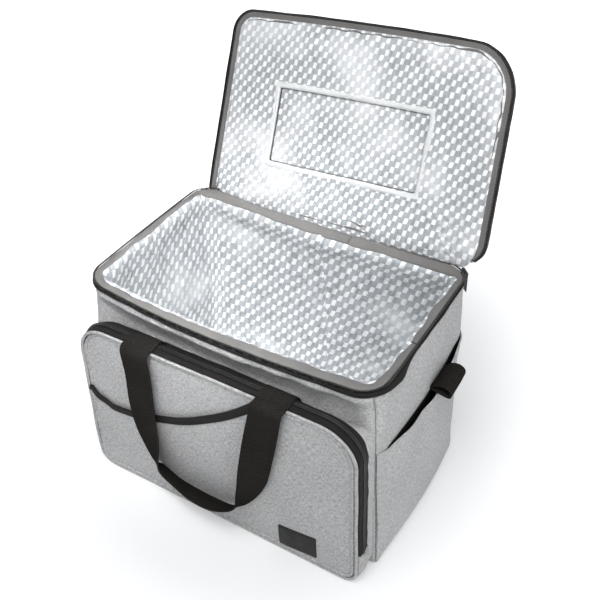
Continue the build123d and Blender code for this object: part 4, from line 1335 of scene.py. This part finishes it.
def panel_y(x, z):
    """Where the panel's face lies: it comes forward from the cord, lies flat over the hem, dips at
    the stitches and then swells gently towards the middle."""
    d = inside(x, z)
    rise = -3.2 * (1 - ease((d + 0.2 * mm) / (1.8 * mm)))
    rise = rise + 1.1 * ease(d / (2 * mm)) * ease((hem - d) / (2 * mm))
    groove = -0.9 * np.exp(-((d - hem) / (0.9 * mm)) ** 2)
    swell = 1.3 * (1 - np.exp(-np.maximum(d - hem, 0) / (30 * mm)))
    waver = 0.5 * ripple(x, z, 75 * mm, 73) * ease((d - hem) / (25 * mm))
    return panel_face - (rise + groove + swell + waver) * mm


def fine_ends(length, edge, step):
    """Places from 0 to length: an edge of fine steps at each end and even steps between."""
    number = max(2, int((length - 2 * edge[-1]) / step))
    middle = np.linspace(edge[-1], length - edge[-1], number + 1)[1:-1]
    return np.concatenate([edge, middle, length - edge[::-1]])


edge_steps = np.concatenate([[0, 0.4, 1, 1.6, 2.4, 3.4, 4.6, 5.8, 6.8, 7.6, 8.2, 8.8, 9.6, 11, 13],
                             np.arange(16, 49, 3)]) * mm
columns = fine_ends(2 * panel_half, edge_steps, 4 * mm) - panel_half
shares = fine_ends(panel_tall, edge_steps[:15], 4.5 * mm) / panel_tall


def arc_end(radius):
    """How far a rounded corner of this radius pulls the panel's end in at each column."""
    over = np.clip(np.abs(columns) - (panel_half - radius), 0, radius)
    return radius - np.sqrt(np.maximum(radius ** 2 - over ** 2, 0))


low_end = panel_low + arc_end(low_radius - cord_wide)
high_end = panel_high - arc_end(top_radius - cord_wide)


def panel_cloth(name, top, face, node):
    """The cloth between the panel's low end and a top line, its face at face(x, z)."""
    z = low_end[:, None] * (1 - shares) + top[:, None] * shares
    x = np.broadcast_to(columns[:, None], z.shape)
    made = grid(name, np.stack([slump(x, z), face(x, z), z], -1), u=x, v=z)
    wall(made, 1.1 * mm)
    return place(made, "bag", grey_cloth, "grey_cloth", node)


panel = panel_cloth("pocket_panel", high_end, panel_y, "pocket_front")

# %% [markdown]
# A second layer of the same cloth makes the slip pocket. Its mouth runs down from the left edge and
# sweeps up to the top behind the right handle, bound in black tape. The mouth gapes a little.
# %% Slip pocket
sweep = smooth([(-194, 153), (-162, 139), (-128, 139.5), (-78, 155), (-29, 177), (10, 201), (40, 223),
                (62, 243), (78, 262)], 12) * mm


def mouth_level(x):
    """Height of the slip pocket's mouth at x."""
    return np.interp(x, sweep[:, 0], sweep[:, 1])


def slip_y(x, z):
    """Where the slip pocket's face lies. It stands off the panel by little along its seams and by most
    at its mouth, with two small buckles near the mouth's left end."""
    d = np.maximum(inside(x, z) - hem, 0)
    below_mouth = np.maximum(mouth_level(x) - z, 0)
    belly = 1 - np.exp(-d / (35 * mm))
    buckles = np.sin((x + 194 * mm) / (9.5 * mm)) ** 2 * np.exp(-((x + 168 * mm) / (20 * mm)) ** 2)
    folds = 0.5 * ripple(x, z, 90 * mm, 74)
    pull = 3.0 * np.exp(-below_mouth / (55 * mm)) * ease((60 * mm - x) / (60 * mm))
    gape = 1.2 + belly * (0.8 + folds + pull) + buckles * np.exp(-below_mouth / (14 * mm)) * 2.0
    return panel_y(x, z) - gape * mm


slip_top = np.minimum(mouth_level(columns) - 1 * mm, high_end)
slip = panel_cloth("slip_pocket_cloth", slip_top, slip_y, "slip_pocket")

# %% Black binding along the mouth, and the hem's row of stitches
x = np.linspace(-panel_half + 1.0 * mm, 68 * mm, 150)
z = np.minimum(mouth_level(x), panel_high - 2 * mm)
mouth = np.stack([slump(x, z), slip_y(x, z) - 0.2 * mm, z], -1)
across = unit(np.cross(forward, heading(mouth)))
across *= np.sign(across[:, 2:])
lap = np.array([[1.2, -0.9], [1.5, 0.0], [0.9, 0.9], [-2, 1.15], [-6, 1.05], [-9.2, 0.8], [-9.4, 0.2],
                [-6, -0.1], [-2, -0.2], [0.2, -0.9]]) * mm
mouth_binding = band("slip_mouth_binding", mouth, across, np.broadcast_to(forward, mouth.shape), lap)
place(mouth_binding, "bag", black_tape, "black_tape", "slip_edge")
x, z = pocket_ring(-cord_wide - hem)[0].T
on_slip = ease((mouth_level(x) - z) / (1 * mm))
y = panel_y(x, z) * (1 - on_slip) + slip_y(x, z) * on_slip - 0.1 * mm
# The hem's stitches take the near-black thread, as painted shade of the groove they lie in.
row = stitches("hem_stitches", np.stack([slump(x, z), y, z], -1), np.broadcast_to(forward, (len(x), 3)),
               thick=0.5 * mm, closed=True)
place(row, "bag", painted_shade_thread, "grey_cloth")

# %% [markdown]
# A dark rubber patch is sewn on low at the right. It is left bare.
# %% Patch
patch_low, patch_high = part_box("patch")
patch_ring = rounded_ring(patch_low.x, patch_high.x, patch_low.z, patch_high.z, [1.2 * mm] * 4,
                          (12, 4, 9, 4, 24))[0]
middle = np.array([(patch_low.x + patch_high.x) / 2, (patch_low.z + patch_high.z) / 2])
centre = middle + 3 * mm
lean = np.array([[0.99, 0.13], [0.02, 1.02]])
share = np.array([0, 0, 0.03, 0.045, 0.06, 0.075, 0.35, 0.7, 1.0])[None, :, None]
thick = np.array([0.0, 0.9, 1.25, 1.0, 1.0, 1.25, 1.25, 1.25, 1.25]) * mm
flat = (centre + (patch_ring - middle) @ lean)[:, None] * (1 - share) + centre * share
x, z = flat[..., 0], flat[..., 1]
patch = grid("bare_patch", np.stack([x, slip_y(x, z) - thick, z], -1), wrap_i=True, u=x, v=z)
merge(patch)
place(patch, "bag", patch_rubber, "patch", "patch")
print("pocket:", round(2 * pocket_half, 3), "x", round(pocket_tall, 3), "m")

# %% [markdown]
# ## Side pockets and strap loops
# Each end wall carries an open pocket as wide as the wall. Its mouth hangs away from the wall, and a black
# sheet behind it shows through the gap: partly a black facing, partly painted shade for the dark inside the
# pocket. A webbing loop is sewn in at the mouth for a shoulder strap.
# %% The side pocket's shape
side_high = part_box("side_pocket_right")[1].z
side_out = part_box("side_pocket_right")[1].x
side_end = half_y - 2.2 * mm
side_foot = 5 * mm


def side_gape(s, h):
    """How far (mm) the pocket stands off the wall at s along it (-1 to 1) and share h of its height:
    all but nothing along the seams, most at the middle of the mouth, with a few soft upright folds."""
    across = np.clip(1 - np.abs(s) ** 2.4, 0, 1)
    open_part = np.clip(1 - np.abs(np.where(s < 0, s / 0.86, s / 0.97)) ** 2.2, 0, 1)
    mouth = ease((h - 0.35) / 0.65) ** 1.4
    folds = ripple(s * 0.1, h * 0.03, 45 * mm, 81) * across * h
    low = 6.0 * ease(h / 0.03) + 1.0 * np.sin(pi * np.clip(h, 0, 1))
    return 0.9 + across ** 1.3 * low * (1 - 0.5 * mouth) + 5.6 * mouth * open_part + folds


def mouth_height(s):
    """Height of the pocket's mouth: it hangs 5 mm lower in the middle and climbs towards both ends."""
    return side_high + (2 - 5 * (1 - s ** 2) + 11 * ease(s) + 9 * ease((-0.80 - s) / 0.2)) * mm


def end_wall(y, z):
    """Where the settled end wall lies at y and z: the outline's end, its rounded corners and its swell."""
    radius = np.where(y < 0, *corner_radii(z))
    over = np.clip(np.abs(y) - (half_y - radius), 0, radius)
    x = half_x - radius + np.sqrt(np.maximum(radius ** 2 - over ** 2, 0))
    return np.moveaxis(settle(np.stack([x, y, z], -1))[..., :2], -1, 0)


# %% Side pockets
ends = ((1, "right"), (-1, "left"))
s = np.sin(np.linspace(-pi / 2, pi / 2, 80)) * 0.35 + np.linspace(-1, 1, 80) * 0.65
h = np.concatenate([[0, 0.004, 0.01], np.linspace(0.02, 1, 56)])
ss, hh = np.meshgrid(s, h, indexing="ij")
y = ss * side_end
z = side_foot + hh * (mouth_height(ss) - side_foot)
wall_x, wall_y = end_wall(y, z)
cloth_x = wall_x + side_gape(ss, hh) * mm * (1 - ease((0.02 - hh) / 0.02) * 0.5)
is_open = ease((0.84 + s) / 0.06) * ease((0.96 - s) / 0.04)
# The black sheet behind the mouth is partly a black facing and partly painted shade for the dark inside the
# pocket; where the pocket is open it rises 1.5 mm above the mouth.
lining_z = z + ((5.5 * is_open - 4) * mm)[:, None] * hh
upper = slice(20, None)
stitch_row = -5
for turn_side, side_name in ends:
    mirrored = np.array([turn_side, 1, 1])
    cloth = grid(f"side_pocket_cloth_{side_name}", np.stack([cloth_x, wall_y, z], -1) * mirrored,
                 u=turn_side * y, v=z, flip=turn_side < 0)
    wall(cloth, 1.2 * mm)
    place(cloth, "bag", grey_cloth, "grey_cloth", f"side_pocket_{side_name}")
    inner = np.stack([wall_x + 0.5 * mm, wall_y, lining_z], -1)[:, upper] * mirrored
    lining = grid(f"side_pocket_facing_and_shade_{side_name}", inner, u=y[:, upper], v=z[:, upper], flip=turn_side < 0)
    wall(lining, 0.4 * mm)
    place(lining, "bag", black_facing_and_shade, "black_tape")
    mouth = np.stack([cloth_x[:, -1] - 0.5 * mm, wall_y[:, -1], z[:, -1]], -1) * mirrored
    outward = np.broadcast_to([turn_side * 1.0, 0, 0], mouth.shape)
    upward = np.broadcast_to([0.0, 0, 1], mouth.shape)
    hem_roll = band(f"side_pocket_hem_{side_name}", mouth, outward, upward, pill(2.0 * mm, 2.2 * mm))
    place(hem_roll, "bag", grey_cloth, "grey_cloth")
    row = np.stack([cloth_x + 0.1 * mm, wall_y, z], -1)[:, stitch_row] * mirrored
    made = stitches(f"side_pocket_stitches_{side_name}", row, outward, 3.2 * mm, 2.2 * mm, 0.45 * mm)
    place(made, "bag", thread_grey, "grey_cloth")

# %% [markdown]
# The loop is one length of webbing folded back on itself. It stands out from the mouth, droops at its
# end and has a crease across one corner, where it has been folded over in use.
# %% Strap loops
loop_low, loop_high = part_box("side_loop_right")
loop_middle = (loop_low.y + loop_high.y) / 2 + 1 * mm
loop_width = 1.12 * (loop_high.y - loop_low.y)
line = smooth([(203, 191), (209, 197.5), (218, 202.5), (227, 202), (230.5, 197), (229, 191), (221, 189.5),
               (212.5, 190), (205, 189)], 7) * mm
share = np.linspace(0, 1, 13)
along, over = np.meshgrid(np.arange(len(line)), share, indexing="ij")
reach_out = (line[along, 0] - 204 * mm) / (24 * mm)
corner = np.clip(over * 1.2 - 0.75, 0, 1) * np.clip(reach_out, 0, 1)
x = line[along, 0] - 5 * mm * corner * reach_out
y = loop_middle + (over - 0.5) * (loop_width + 3 * mm * reach_out)
z = line[along, 1] - 12 * mm * corner - 3 * mm * reach_out * (1 - over)
for turn_side, side_name in ends:
    loop = grid(f"strap_loop_{side_name}", np.stack([turn_side * x, y, z], -1), u=lengths(line),
                v=share * loop_width, flip=turn_side > 0)
    wall(loop, 1.6 * mm, offset=0)
    place(loop, "bag", black_webbing, "black_webbing", f"side_loop_{side_name}")
print("side pockets: mouth", round(2 * side_end, 3), "m wide, gaping to", round(side_out - half_x, 3), "m")

# %% [markdown]
# ## Webbing handles
# Each handle is one length of 40 mm webbing. It could be extruded along a flat U, but webbing can't
# bend in its own plane: where the loop turns at the bottom it has to twist, and the bottom run lies
# nearly flat. So each handle is a list of middles with a half width vector at each, both smoothed by
# the same curve, and the strip is carried between them.
# %% A strip of webbing from its middle line and half widths
webbing_wide, webbing_thick, webbing_edge = 40 * mm, 2.4 * mm, 0.9 * mm


def webbing(name, path, *nodes):
    """Webbing through a few rows of a middle point and a half width vector (mm): both are smoothed by
    the same curve, and a flat section with rounded edges is carried along them."""
    middles, halves = np.split(smooth(path, 9), 2, axis=1)
    wide = np.clip(np.linalg.norm(halves, axis=-1), 15, 23) / 20
    across = unit(halves)
    up = unit(np.cross(heading(middles), across))
    section = pill(webbing_wide, webbing_thick, webbing_edge) * np.stack([wide, 1 + 0 * wide], -1)[:, None]
    return dress(band(name, middles * mm, across, up, section), black_webbing, "black_webbing", *nodes)


# %% Front handle, and its two roots behind the pocket
front_path = [
    (-92, -157, 259.6, -20, 0, 0), (-92, -163, 259.8, -20, 0, 0), (-91, -168, 257.5, -20, 0, 0),
    (-90, -170.4, 252, -20, 0, 0), (-89.5, -170.5, 240, -20, 0, 0), (-90, -170.2, 215, -19.5, 0, 0),
    (-93, -170.5, 173, -20, 0.5, -1), (-92, -172, 138, -20.5, 3, -5), (-86, -175, 108, -21, 8, -12),
    (-81, -177, 82, -15, 12, -17), (-75, -176, 72, -11, 14.6, -14), (-54, -176, 59, -8, 14.8, -13.5),
    (-26, -176, 50, -8, 14.8, -8.5), (4, -176, 51, -10, 14.8, -10.5), (35, -175.5, 64, -9, 13, -17),
    (50, -173.5, 91, 2, 10.5, -18), (64, -172, 131, 15, 6, -9), (74, -170.5, 178, 21, 0.5, 0),
    (82, -170.2, 215, 21.5, 0, 2), (87.5, -170.5, 240, 21, 0, 3), (90, -170.4, 252, 20.5, 0, 1),
    (91, -168, 257.5, 20, 0, 0), (92, -163, 259.8, 20, 0, 0), (92, -157, 259.6, 20, 0, 0),
]
front_loop = webbing("front_handle_webbing", front_path, "front_handle")
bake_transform(front_loop)
root_line = ((-127, 236), (-129.5, 243), (-132, 250), (-135.5, 256.5), (-141, 260.4), (-150, 260.8),
             (-159, 259.8))
for number, (side_name, x) in enumerate((("left", -92), ("right", 92))):
    root = webbing(f"handle_root_{side_name}", [(x, y, z, 20, 0, 0) for y, z in root_line],
                   *first_only(number, "handle_roots"))
    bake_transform(root)

# %% Back handle, in the same way: one half is listed and the other mirrors it
half_path = [
    (-92, 121.5, 254, -20, 0, 0), (-92, 124.5, 259.5, -20, 0, 0), (-92, 127.8, 259, -20, 0, 0),
    (-92, 128.6, 252, -20, 0, 0), (-91.5, 128.4, 230, -20, 0, 0), (-90, 128.6, 185, -20, 0, 1),
    (-88, 130, 135, -19.8, -2, 1), (-84, 134, 92, -17.5, -9, 0), (-73, 139, 60, -11, -16, -2),
    (-52, 142, 41, -5, -18, -6), (-20, 143, 34, -1, -18, -8),
]
back_path = half_path + [(-x, y, z, -a, b, c) for x, y, z, a, b, c in half_path[::-1]]
back_loop = webbing("back_handle_webbing", back_path, "back_handle")
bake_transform(back_loop)
print("handles: front loop of", len(front_path), "middles, back loop of", len(back_path))

# %% [markdown]
# ## Zip sliders
# The sliders and their pulls are small castings with a dark lacquer. The frame already has their true
# shape, because they move, so they keep their CAD meshes and only take a finish.
# %% Sliders and pulls
for place_name in ("rim_{}_left", "rim_{}_right", "pocket_{}"):
    for part_name in ("slider", "pull"):
        for material_slot in frame["nodes"][place_name.format(part_name)].material_slots:
            material_slot.material = slider_paint
print("sliders: finished")
